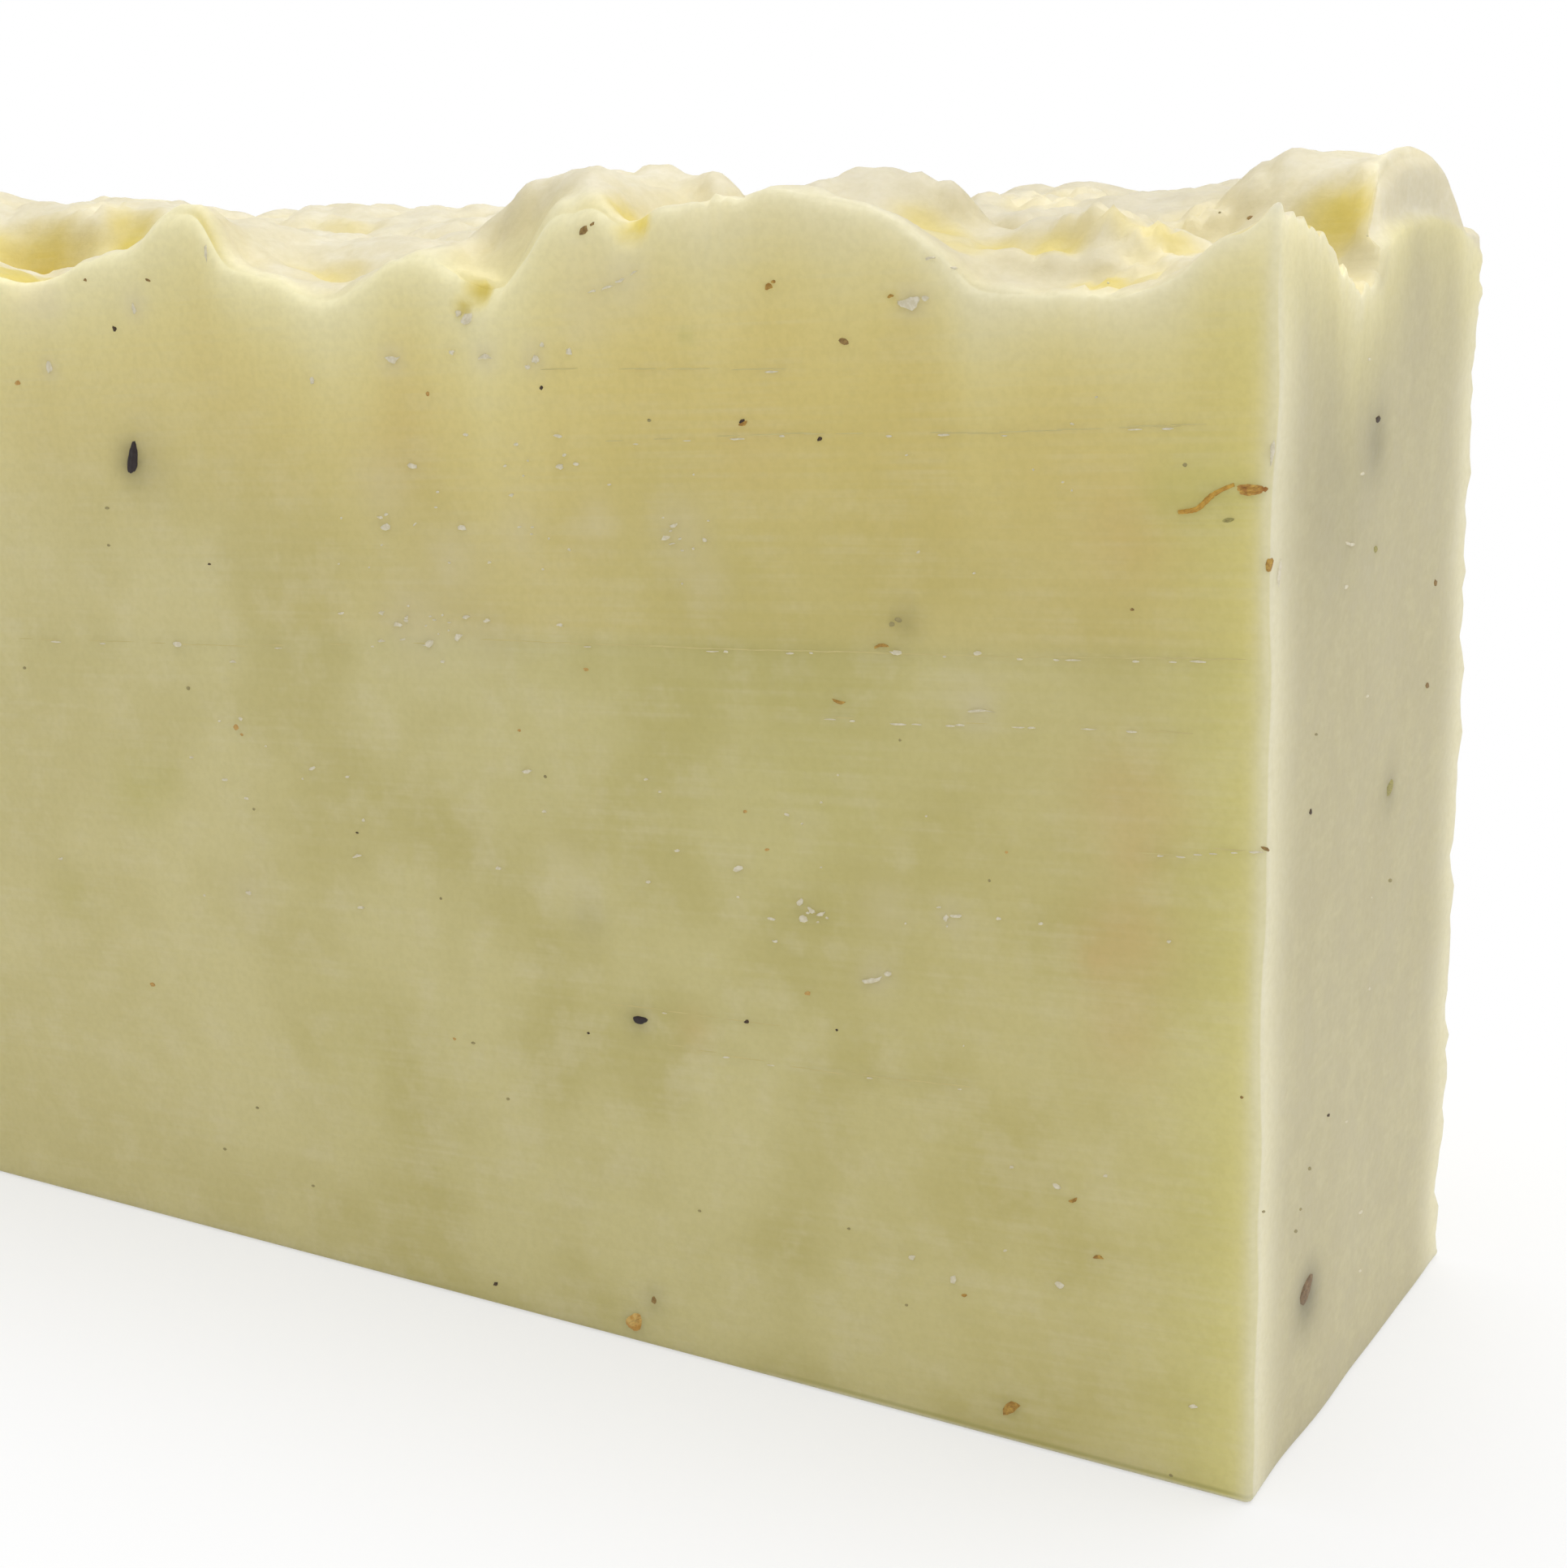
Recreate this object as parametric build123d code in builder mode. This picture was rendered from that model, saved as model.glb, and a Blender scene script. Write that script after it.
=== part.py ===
from build123d import *
import math
import os

# Hand-cut bar of soap, one slice of a poured loaf, standing on its long side.
# X runs along the cut slice, Y through its thickness away from the shown cut face,
# Z up to the torn top of the loaf. The origin is the middle of the bottom.

# Driving sizes of the bar, in millimetres
bar_length = 90.0
bar_thickness = 28.0
body_height = 53.0
crust_height = 7.0
upright_edge_radius = 0.4
base_edge_radius = 0.3

# The torn top is lofted, straight from slice to slice, through slices of the bar: their pitch,
# the pitch of each slice's points, and how far the slices overrun the sides
slice_pitch = 1.4
point_pitch = 1.5
crust_overrun = 3.0

# Reach of each rim's own profile into the crust, and the small crumbs all over it
rim_reach = 2.4
rim_softness = 0.05
crumb_count = 130
crumb_size = 2.0
crumb_rise = 0.3

# Dried plant bits in the soap, cut through by the knife or lying at the mould's wall
stem_diameter = 0.24
husk_length = 1.4
husk_width = 0.5
left_seed_length = 2.1
left_seed_width = 0.8
middle_seed_length = 1.05
middle_seed_width = 0.5
end_seed_length = 2.2
end_seed_width = 1.2
petal_length = 1.3
petal_width = 1.0

# Height of the rims above the body, as shares of the crust height.
# Front and back rims: place as a share of the length from the middle.
front_rim_shares = [
    (-0.50, 0.30), (-0.43, 0.36), (-0.37, 0.30), (-0.33, 0.24), (-0.286, 0.20), (-0.27, 0.15),
    (-0.245, 0.15), (-0.240, 0.20), (-0.222, 0.30), (-0.198, 0.37), (-0.179, 0.42), (-0.170, 0.52),
    (-0.166, 0.63), (-0.157, 0.70), (-0.138, 0.70), (-0.131, 0.62), (-0.125, 0.47), (-0.118, 0.26),
    (-0.100, 0.25), (-0.083, 0.22), (-0.071, 0.15), (-0.058, 0.08), (-0.044, 0.10), (-0.027, 0.20),
    (-0.013, 0.32), (0.008, 0.40), (0.025, 0.44), (0.036, 0.40), (0.046, 0.32), (0.056, 0.25),
    (0.065, 0.24), (0.073, 0.37), (0.088, 0.50), (0.094, 0.66), (0.107, 0.77), (0.133, 0.83),
    (0.154, 0.63), (0.171, 0.81), (0.200, 0.82), (0.209, 0.71), (0.224, 0.90), (0.259, 0.90),
    (0.276, 0.83), (0.289, 0.86), (0.304, 0.80), (0.318, 0.64), (0.331, 0.53), (0.359, 0.30),
    (0.386, 0.34), (0.423, 0.36), (0.450, 0.47), (0.464, 0.64), (0.482, 0.73), (0.493, 0.80),
    (0.50, 0.90),
]
back_rim_shares = [
    (-0.50, 0.28), (-0.42, 0.25), (-0.40, 0.16), (-0.345, 0.12), (-0.29, 0.25), (-0.23, 0.26),
    (-0.19, 0.27), (-0.13, 0.30), (-0.085, 0.22), (-0.03, 0.44), (0.02, 0.36), (0.055, 0.50),
    (0.10, 0.46), (0.135, 0.30), (0.18, 0.46), (0.205, 0.43), (0.228, 0.53), (0.27, 0.57),
    (0.31, 0.50), (0.352, 0.57), (0.38, 0.66), (0.42, 0.62), (0.465, 0.46), (0.50, 0.26),
]
# End rims: place as a share of the thickness from the shown cut face.
right_rim_shares = [
    (0.00, 0.90), (0.086, 0.83), (0.17, 0.67), (0.24, 0.56), (0.275, 0.39), (0.32, 0.29),
    (0.41, 0.21), (0.46, 0.21), (0.49, 0.46), (0.52, 0.68), (0.58, 0.83), (0.70, 0.92),
    (0.80, 0.87), (0.83, 0.74), (0.86, 0.56), (0.885, 0.40), (0.92, 0.30), (1.00, 0.25),
]
left_rim_shares = [
    (0.00, 0.30), (0.16, 0.16), (0.34, 0.40), (0.48, 0.34), (0.62, 0.47), (0.82, 0.20), (1.00, 0.28),
]
# Ground level of the crust inside the rims, by place along the length.
ground_shares = [(-0.50, 0.30), (-0.25, 0.26), (0.00, 0.30), (0.12, 0.46), (0.35, 0.50), (0.50, 0.40)]

# Lumps and hollows: place along the length from the middle, place across the thickness from
# the shown cut face, half length and half width as shares of the thickness, rise as a share
# of the crust height, and how square the lump is (a power, 1 is a plain bell).
lump_shares = {
    "left hollow": (-0.345, 0.31, 0.27, 0.15, -0.30, 1.5),
    "left bank": (-0.37, 0.60, 0.36, 0.12, 0.14, 1.5),
    "left pocket": (-0.285, 0.33, 0.08, 0.09, -0.24, 1.5),
    "pocket behind the lobe": (-0.185, 0.20, 0.05, 0.05, -0.14, 1.0),
    "lobe ridge": (-0.150, 0.13, 0.10, 0.19, 0.24, 1.5),
    "lobe hollow": (-0.215, 0.40, 0.12, 0.06, -0.12, 1.0),
    "crease": (-0.075, 0.12, 0.16, 0.045, -0.16, 1.0),
    "middle crease": (-0.15, 0.52, 0.20, 0.06, -0.16, 1.0),
    "fold": (-0.080, 0.28, 0.28, 0.07, 0.10, 1.0),
    "step by the boulder": (0.045, 0.14, 0.12, 0.10, 0.22, 1.5),
    "back crease": (-0.20, 0.66, 0.21, 0.055, -0.15, 1.0),
    "back knob": (-0.27, 0.86, 0.12, 0.08, 0.05, 1.0),
    "back left pit": (-0.36, 0.83, 0.11, 0.07, -0.18, 1.0),
    "pit": (0.058, 0.07, 0.035, 0.05, -0.30, 1.5),
    "boulder": (0.109, 0.22, 0.21, 0.21, 0.46, 2.5),
    "boulder tail": (0.08, 0.62, 0.15, 0.15, 0.10, 1.5),
    "crevice": (0.145, 0.15, 0.04, 0.10, -0.42, 1.5),
    "back middle pit": (-0.03, 0.80, 0.12, 0.08, -0.20, 1.0),
    "back middle knob": (0.03, 0.86, 0.09, 0.09, 0.14, 1.0),
    "shoulder": (0.251, 0.24, 0.15, 0.17, 0.39, 2.0),
    "hollow behind the shoulder": (0.19, 0.52, 0.14, 0.10, -0.22, 1.0),
    "back right pit": (0.165, 0.86, 0.12, 0.08, -0.20, 1.0),
    "first hollow": (0.262, 0.46, 0.11, 0.075, -0.34, 1.5),
    "front ridge": (0.310, 0.26, 0.16, 0.06, 0.10, 1.0),
    "front bank": (0.365, 0.13, 0.27, 0.09, 0.12, 1.5),
    "second hollow": (0.294, 0.45, 0.055, 0.06, -0.24, 1.5),
    "third hollow": (0.323, 0.46, 0.08, 0.065, -0.30, 1.5),
    "mound": (0.395, 0.22, 0.14, 0.08, 0.24, 1.5),
    "mound pit": (0.394, 0.13, 0.06, 0.04, -0.24, 1.5),
    "second mound pit": (0.421, 0.15, 0.035, 0.03, -0.14, 1.0),
    "hollow behind the mound": (0.396, 0.43, 0.11, 0.07, -0.22, 1.5),
    "back bank": (0.29, 0.76, 0.30, 0.12, 0.08, 1.0),
    "high lump": (0.464, 0.69, 0.19, 0.19, 0.46, 2.5),
    "lump shoulder": (0.385, 0.74, 0.14, 0.12, 0.14, 1.0),
    "lump hollow": (0.472, 0.50, 0.085, 0.06, -0.34, 1.5),
    "corner ridge": (0.480, 0.10, 0.07, 0.10, 0.12, 1.0),
}

# Plant bits on the shown cut face: place along the length from the middle, height as a share
# of the body height. The last seed is on the right end: place across the thickness instead.
stem_route_shares = [(0.4505, 0.874), (0.459, 0.877), (0.465, 0.888), (0.476, 0.899)]
husk_height_share = 0.8965
left_seed_place_shares = (-0.1975, 0.842)
middle_seed_place_shares = (0.138, 0.346)
petal_along_share = 0.1225
end_seed_place_shares = (0.2485, 0.148)
# The petal crumb's middle above the softened base edge, as a share of its length
petal_lift_share = 0.72
# Turn of each bit in its face, in degrees
husk_turn = 4.0
left_seed_turn = 74.0
middle_seed_turn = 8.0
petal_turn = 50.0
end_seed_turn = 25.0
# Depth of each bit as a share of its width, and how far it narrows at its hidden end
bit_depth_share = 0.6
bit_taper_share = 0.55

# Cut outlines of the bits, going round, as shares of length and width from the middle
seed_outline_shares = [(-0.50, -0.05), (-0.22, -0.46), (0.20, -0.50), (0.50, 0.02), (0.24, 0.44), (-0.26, 0.50)]
husk_outline_shares = [(-0.50, 0.00), (-0.20, -0.44), (0.26, -0.50), (0.50, 0.10), (0.10, 0.50), (-0.30, 0.36)]
petal_outline_shares = [
    (-0.50, -0.10), (-0.20, -0.50), (0.10, -0.26), (0.42, -0.44), (0.50, 0.10), (0.14, 0.50), (-0.18, 0.30),
]

# The golden-ratio family of shares that scatters the crumbs evenly without rows
crumb_step_shares = (0.7549, 0.5698, 0.6180)


def level_at(rim_shares, place_share):
    """Smooth level through a rim's points that never swings past them."""
    if place_share <= rim_shares[0][0]:
        return rim_shares[0][1]
    if place_share >= rim_shares[-1][0]:
        return rim_shares[-1][1]
    last = len(rim_shares) - 2
    k = max(i for i in range(last + 1) if rim_shares[i][0] <= place_share)
    slopes = [
        (rim_shares[i + 1][1] - rim_shares[i][1]) / (rim_shares[i + 1][0] - rim_shares[i][0])
        for i in (max(k - 1, 0), k, min(k + 1, last))
    ]
    start_slope, end_slope = (
        2 * a * b / (a + b) if a * b > 0 else 0.0 for a, b in (slopes[:2], slopes[1:])
    )
    (start, low), (end, high) = rim_shares[k], rim_shares[k + 1]
    run = end - start
    t = (place_share - start) / run
    return (
        low * (1 + 2 * t) * (1 - t) ** 2
        + high * t * t * (3 - 2 * t)
        + run * start_slope * t * (1 - t) ** 2
        - run * end_slope * t * t * (1 - t)
    )


def crumb_height(x, y):
    """Small crumbs and pits scattered evenly over the torn top."""
    height = 0.0
    for k in range(1, crumb_count + 1):
        along, across, size = (k * step % 1 for step in crumb_step_shares)
        dx = x - (along - 1 / 2) * bar_length
        dy = y - (across - 1 / 2) * bar_thickness
        reach = crumb_size * (1 + size) / 2
        rise = crumb_rise * (1 if k % 2 else -1)
        height += rise * math.exp(-(dx * dx + dy * dy) / reach**2)
    return height


def crust_level(x, y):
    """Height of the torn top above the base at a place on the bar."""
    along = x / bar_length
    across = y / bar_thickness + 1 / 2
    inner = level_at(ground_shares, along)
    for place, depth, half_length, half_width, rise, power in lump_shares.values():
        dx = (x - place * bar_length) / (half_length * bar_thickness)
        dy = (across - depth) / half_width
        inner += rise * math.exp(-((dx * dx + dy * dy) ** power))
    total = inner * crust_height + crumb_height(x, y)
    weights = 1.0
    rims = [
        (across * bar_thickness, level_at(front_rim_shares, along)),
        ((1 - across) * bar_thickness, level_at(back_rim_shares, along)),
        (bar_length / 2 - x, level_at(right_rim_shares, across)),
        (bar_length / 2 + x, level_at(left_rim_shares, across)),
    ]
    for distance, level in rims:
        weight = (rim_reach / (abs(distance) + rim_softness)) ** 3
        total += weight * level * crust_height
        weights += weight
    return body_height + total / weights


def even_places(size, pitch):
    """Evenly spaced places across a side of the bar, with the overrun at both ends."""
    span = size + 2 * crust_overrun
    steps = round(span / pitch)
    return [-span / 2 + span * i / steps for i in range(steps + 1)]


# Planes of the two shown faces, each facing out of the soap, with its X level
front_plane = Plane(origin=(0, -bar_thickness / 2, 0), x_dir=(1, 0, 0), z_dir=(0, -1, 0))
end_plane = Plane(origin=(bar_length / 2, 0, 0), x_dir=(0, 1, 0), z_dir=(1, 0, 0))


def front_place(place_shares):
    """Point on the shown cut face, in that face's own plane."""
    return (place_shares[0] * bar_length, place_shares[1] * body_height)


def bit_plane(face, place, turn):
    """Plane on a face of the bar, at a bit's middle and turned to its long axis."""
    return Plane(face * Pos(place[0], place[1], 0) * Rot(0, 0, turn))


def bit_outline(outline_shares, length, width):
    """Closed smooth outline of a bit where its face cuts it."""
    with BuildLine() as outline:
        Spline([(along * length, across * width) for along, across in outline_shares], periodic=True)
    return outline.line


def end_place(place_shares):
    """Point on the right end, in that face's own plane."""
    return ((place_shares[0] - 1 / 2) * bar_thickness, place_shares[1] * body_height)


# The husk ends where the near upright edge starts to round, the petal crumb lies just above
# the rounding of the base
husk_place = (
    bar_length / 2 - upright_edge_radius - husk_length / 2,
    husk_height_share * body_height,
)
petal_place = (petal_along_share * bar_length, base_edge_radius + petal_length * petal_lift_share)

# Bits that the knife cut through or that lie at the mould's wall: plane on the bar's face,
# cut outline, length and width
bit_table = {
    "seed_husk": (
        bit_plane(front_plane, husk_place, husk_turn),
        husk_outline_shares,
        husk_length,
        husk_width,
    ),
    "left_seed": (
        bit_plane(front_plane, front_place(left_seed_place_shares), left_seed_turn),
        seed_outline_shares,
        left_seed_length,
        left_seed_width,
    ),
    "middle_seed": (
        bit_plane(front_plane, front_place(middle_seed_place_shares), middle_seed_turn),
        seed_outline_shares,
        middle_seed_length,
        middle_seed_width,
    ),
    "petal_crumb": (
        bit_plane(front_plane, petal_place, petal_turn),
        petal_outline_shares,
        petal_length,
        petal_width,
    ),
    "end_seed": (
        bit_plane(end_plane, end_place(end_seed_place_shares), end_seed_turn),
        seed_outline_shares,
        end_seed_length,
        end_seed_width,
    ),
}
plant_bits = []
for name, (face_plane, outline_shares, length, width) in bit_table.items():
    with BuildPart() as plant_bit:
        with BuildSketch(face_plane):
            make_face(bit_outline(outline_shares, length, width))
        with BuildSketch(face_plane.offset(-width * bit_depth_share)):
            make_face(bit_outline(outline_shares, length * bit_taper_share, width * bit_taper_share))
        loft()
    plant_bit.part.label = name
    plant_bits.append(plant_bit.part)

# Curved stem fibre beside the husk, lying in the cut face
with BuildPart() as stem_fibre:
    with BuildLine(front_plane) as stem_route:
        Spline([front_place(point) for point in stem_route_shares])
    with BuildSketch(stem_route.line ^ 0):
        Circle(stem_diameter / 2)
    sweep(path=stem_route.line)
    split(bisect_by=front_plane, keep=Keep.BOTTOM)
stem_fibre.part.label = "stem_fibre"
plant_bits.append(stem_fibre.part)

# Everything below the torn surface, lofted through slices with the crust's outline
along_places = even_places(bar_length, point_pitch)
across_places = even_places(bar_thickness, slice_pitch)

with BuildPart() as torn_block:
    for y in across_places:
        crust_points = [(x, crust_level(x, y)) for x in along_places]
        with BuildSketch(Plane.XZ.offset(-y)):
            with BuildLine():
                Polyline(
                    *crust_points,
                    (along_places[-1], -crust_overrun),
                    (along_places[0], -crust_overrun),
                    close=True,
                )
            make_face()
    loft(ruled=True)

# The bar itself: a plain cut block with softened edges, its top torn,
# and a pocket for each plant bit
with BuildPart() as soap_bar:
    with BuildSketch():
        Rectangle(bar_length, bar_thickness)
    extrude(amount=body_height + 2 * crust_height)
    fillet(soap_bar.edges().filter_by(Axis.Z), radius=upright_edge_radius)
    fillet(soap_bar.faces().sort_by(Axis.Z)[0].edges(), radius=base_edge_radius)
    add(torn_block.part, mode=Mode.INTERSECT)
    for plant_part in plant_bits:
        add(plant_part, mode=Mode.SUBTRACT)

soap_bar.part.label = "soap_bar"

os.makedirs("parts", exist_ok=True)
export_step(soap_bar.part, "parts/soap_bar.step")
for plant_part in plant_bits:
    export_step(plant_part, f"parts/{plant_part.label}.step")
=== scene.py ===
import math
import random
from collections import namedtuple

import bpy
import numpy as np
from mathutils import Matrix, Vector, noise
from mathutils.bvhtree import BVHTree


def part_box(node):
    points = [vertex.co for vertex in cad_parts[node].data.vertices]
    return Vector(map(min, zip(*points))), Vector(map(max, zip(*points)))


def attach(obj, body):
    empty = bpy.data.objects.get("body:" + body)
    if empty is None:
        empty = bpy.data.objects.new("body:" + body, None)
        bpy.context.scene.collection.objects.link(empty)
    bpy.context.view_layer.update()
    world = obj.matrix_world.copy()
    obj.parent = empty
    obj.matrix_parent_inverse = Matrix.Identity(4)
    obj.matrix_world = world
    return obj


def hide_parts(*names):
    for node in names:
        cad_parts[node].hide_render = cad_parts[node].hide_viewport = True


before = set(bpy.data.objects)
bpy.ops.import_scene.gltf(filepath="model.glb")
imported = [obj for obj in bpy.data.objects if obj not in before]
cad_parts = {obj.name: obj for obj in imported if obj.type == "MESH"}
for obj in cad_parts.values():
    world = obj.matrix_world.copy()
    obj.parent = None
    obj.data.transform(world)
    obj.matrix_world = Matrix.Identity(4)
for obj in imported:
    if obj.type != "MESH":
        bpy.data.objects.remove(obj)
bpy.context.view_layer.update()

# Unseeded, the noise's offsets would come from the clock
NOISE_SEED = 5
noise.seed_set(NOISE_SEED)

# Hand-cut bar of soap. Lengths are worked out in millimetres, as the bar is measured,
# and go into the meshes in metres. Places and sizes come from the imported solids.
MM = 0.001
bar_low, bar_high = (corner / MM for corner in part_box("soap_bar"))
SIDE_X = bar_high.x
SIDE_Y = bar_high.y
PEAK_Z = bar_high.z

# The photograph's camera: place in millimetres, angles in degrees, focal length and image
# size in the photograph's pixels
IMAGE_WIDTH, IMAGE_HEIGHT = 1931, 1932
CAMERA_PLACE = Vector((84.22, -119.78, 70.52))
CAMERA_YAW, CAMERA_PITCH, CAMERA_ROLL = 30.777, 17.436, -1.927
FOCAL_PIXELS = 3396.0
SENSOR_WIDTH = 36.0


def camera_axes():
    """The camera's right, up and forward directions."""
    yaw, pitch, roll = (math.radians(a) for a in (CAMERA_YAW, CAMERA_PITCH, CAMERA_ROLL))
    forward = Vector((-math.sin(yaw) * math.cos(pitch), math.cos(yaw) * math.cos(pitch), -math.sin(pitch)))
    level = Vector((math.cos(yaw), math.sin(yaw), 0))
    upright = level.cross(forward)
    right = math.cos(roll) * level + math.sin(roll) * upright
    up = math.cos(roll) * upright - math.sin(roll) * level
    return right, up, forward


RIGHT, UP, FORWARD = camera_axes()


def make_camera():
    data = bpy.data.cameras.new("photo_camera")
    data.sensor_fit = "AUTO"
    data.sensor_width = SENSOR_WIDTH
    data.lens = FOCAL_PIXELS / max(IMAGE_WIDTH, IMAGE_HEIGHT) * SENSOR_WIDTH
    data.clip_start = 0.005
    data.clip_end = 50
    camera = bpy.data.objects.new("photo_camera", data)
    turn = Matrix((RIGHT, UP, -FORWARD)).transposed().to_4x4()
    camera.matrix_world = Matrix.Translation(CAMERA_PLACE * MM) @ turn
    bpy.context.scene.collection.objects.link(camera)
    bpy.context.scene.camera = camera


def photo_ray(pixel):
    """Direction from the camera through a pixel of the photograph."""
    across, down = pixel
    return FORWARD + (RIGHT * (across - IMAGE_WIDTH / 2) - UP * (down - IMAGE_HEIGHT / 2)) / FOCAL_PIXELS


def solid_tree(mesh):
    """Search tree of a mesh, in millimetres."""
    points = [v.co / MM for v in mesh.vertices]
    return BVHTree.FromPolygons(points, [tuple(p.vertices) for p in mesh.polygons])


def photo_place(pixel, tree):
    """Where a pixel of the photograph lies on a surface, and the surface's direction there."""
    place, normal, _, _ = tree.ray_cast(CAMERA_PLACE, photo_ray(pixel).normalized())
    return place, normal


PACKED = solid_tree(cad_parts["soap_bar"].data)


def linear(red, green, blue):
    """A colour written in the usual 0 to 255 steps, as the shaders want it."""
    steps = [c / 255 for c in (red, green, blue)]
    return tuple(c / 12.92 if c <= 0.04045 else ((c + 0.055) / 1.055) ** 2.4 for c in steps) + (1.0,)


# Shader building

class Wiring:
    """Short names for adding shader nodes to one material or world."""

    def __init__(self, name, library=None):
        library = bpy.data.materials if library is None else library
        self.holder = library.new(name)
        self.holder.use_nodes = True
        self.tree = self.holder.node_tree
        self.tree.nodes.clear()

    def put(self, kind, sockets=None, **settings):
        node = self.tree.nodes.new(kind)
        for key, value in settings.items():
            setattr(node, key, value)
        for key, value in (sockets or {}).items():
            if isinstance(value, bpy.types.NodeSocket):
                self.tree.links.new(value, node.inputs[key])
            else:
                node.inputs[key].default_value = value
        return node

    def math(self, operation, first, second=0.0):
        return self.put("ShaderNodeMath", {0: first, 1: second}, operation=operation).outputs[0]

    def times(self, first, second):
        return self.math("MULTIPLY", first, second)

    def vector(self, operation, first, second=(0, 0, 0)):
        return self.put("ShaderNodeVectorMath", {0: first, 1: second}, operation=operation).outputs

    def ease(self, value, start, end, low=0.0, high=1.0):
        """Smooth step of a value, from low at start to high at end."""
        sockets = dict(enumerate((value, start, end, low, high)))
        return self.put("ShaderNodeMapRange", sockets, interpolation_type="SMOOTHSTEP").outputs[0]

    def mix(self, share, first, second):
        return self.put("ShaderNodeMix", {0: share, 6: first, 7: second}, data_type="RGBA").outputs[2]

    def over(self, tone, colour, share):
        """A tone with a colour laid over it by a share."""
        return self.mix(share, tone, linear(*colour))

    def between(self, value, start, end, first, second):
        """A tone that goes from one colour to another as a value rises."""
        return self.mix(self.ease(value, start, end), linear(*first), linear(*second))

    def blend(self, share, first, second):
        """One shader shown over another by a share."""
        return self.put("ShaderNodeMixShader", {0: share, 1: first.outputs[0], 2: second.outputs[0]})

    def place(self, stretch=(1, 1, 1), turn=(0, 0, 0)):
        """Place on the bar in millimetres, turned and stretched."""
        spot = self.put("ShaderNodeTexCoord").outputs["Object"]
        turned = self.put("ShaderNodeMapping", {"Vector": spot, "Rotation": turn})
        sizes = tuple(share / MM for share in stretch)
        return self.put("ShaderNodeMapping", {"Vector": turned.outputs[0], "Scale": sizes}).outputs[0]

    def clouds(self, place, scale, detail=2.0, rough=0.5, warp=0.0):
        sockets = {"Vector": place, "Scale": scale, "Detail": detail, "Roughness": rough, "Distortion": warp}
        return self.put("ShaderNodeTexNoise", sockets).outputs[0]

    def attribute(self, name):
        return self.put("ShaderNodeAttribute", attribute_name=name).outputs["Fac"]

    def finish(self, shader, output="ShaderNodeOutputMaterial"):
        self.put(output, {"Surface": shader.outputs[0]})
        return self.holder

    def dull(self, tone, shine, relief=None, depth=0.0):
        """Finishes with a dull surface that has fine relief of a depth in millimetres."""
        sockets = {"Base Color": tone, "Roughness": shine}
        if relief is not None:
            bump = {"Height": relief, "Distance": depth * MM, "Strength": 0.5}
            sockets["Normal"] = self.put("ShaderNodeBump", bump).outputs[0]
        return self.finish(self.put("ShaderNodeBsdfPrincipled", sockets))


# The soap's own mesh

COLUMN_PITCH = 0.36
DEPTH_PITCH = 0.31
ROW_PITCH = 0.85
FINE_ROW_PITCH = 0.32
FINE_ROWS_FROM = 49.0
NOMINAL_RIM = 56.0
SKY_STEPS = (0.4, 0.8, 1.3, 2.0, 3.0, 4.5, 6.5)
EDGE_STEPS = (0.0, 0.09, 0.2, 0.34, 0.55)
# How much golden shade is painted in plain hollows, beside the golden ones that the photograph shows
HOLLOW_SHARE = 0.45
# How far up the walls of hollows their painted golden shade stays whole, and how it fades above that
GOLD_RISE, GOLD_FADE = 0.7, 0.8

UPRIGHT_RADIUS = 0.4
BASE_RADIUS = 0.35
RIM_RADIUS = 0.6
PEAK_RADIUS = 0.3

# Lumps, crumbs and fine grain all over the torn top, how far from straight their edges run, and
# how crumbly the top is where it looks smooth, 0 to 1
LUMP_SIZE, LUMP_RISE = 3.8, 1.0
CRUMB_SIZE, CRUMB_RISE = 1.4, 1.25
GRAIN_SIZE, GRAIN_RISE = 0.6, 0.13
WARP_SIZE, WARP_REACH = 3.1, 0.9
LEAST_CRUMBLE = 0.2

# Corrections of the cut face's rim, by pixel: place, reach along the bar, rise
RIM_SHIFTS = (
    ((20, 330), 4.0, 0.05),
    ((1370, 330), 4.0, -0.2),
    ((955, 240), 3.0, 0.5),
)

# The right end's rim is jagged from the cut face to this depth, and this high
JAGGED_DEPTH, JAGGED_RISE = 13.5, 0.34

# Crease on the right end, by pixel: the high lump above it is torn and set back a little
END_CREASE = ((1700, 306), (1722, 288), (1745, 275), (1770, 268), (1790, 276), (1810, 294), (1829, 318))
LUMP_SET_BACK = ((4, 8, 12), (0.75, 0.35, 0.0))

# Where the cut face's rim is broad and soft: place along the bar, reach, added radius
SOFT_RIMS = (
    (-32, 10, 0.9), (-14.5, 3.5, 1.6), (-4, 6, 0.9), (7, 4.5, 2.8), (12, 2, 0.8), (21, 5, 1.1), (32, 5, 0.6),
)
# The high lump over the right end rolls over softly: depth from the cut face, reach, added radius
LUMP_ROLL = (17.5, 4.6, 1.5)


def spread(low, high, pitch):
    """Places across a side: close together by both edges, even between them."""
    first, last = low + EDGE_STEPS[-1], high - EDGE_STEPS[-1]
    even = np.linspace(first, last, round((last - first) / pitch) + 1)
    near = [low + step for step in EDGE_STEPS[:-1]]
    far = [high - step for step in reversed(EDGE_STEPS[:-1])]
    return np.concatenate([near, even, far])


def row_shares():
    """Heights of the rows of a side, as shares of the height of the rim above."""
    foot = list(EDGE_STEPS[:-1])
    body = np.arange(EDGE_STEPS[-1], FINE_ROWS_FROM - ROW_PITCH / 2, ROW_PITCH)
    top = NOMINAL_RIM - EDGE_STEPS[-1]
    upper = np.linspace(FINE_ROWS_FROM, top, round((top - FINE_ROWS_FROM) / FINE_ROW_PITCH) + 1)
    rim = [NOMINAL_RIM - step for step in reversed(EDGE_STEPS[:-1])]
    return np.concatenate([foot, body, upper, rim]) / NOMINAL_RIM


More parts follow.
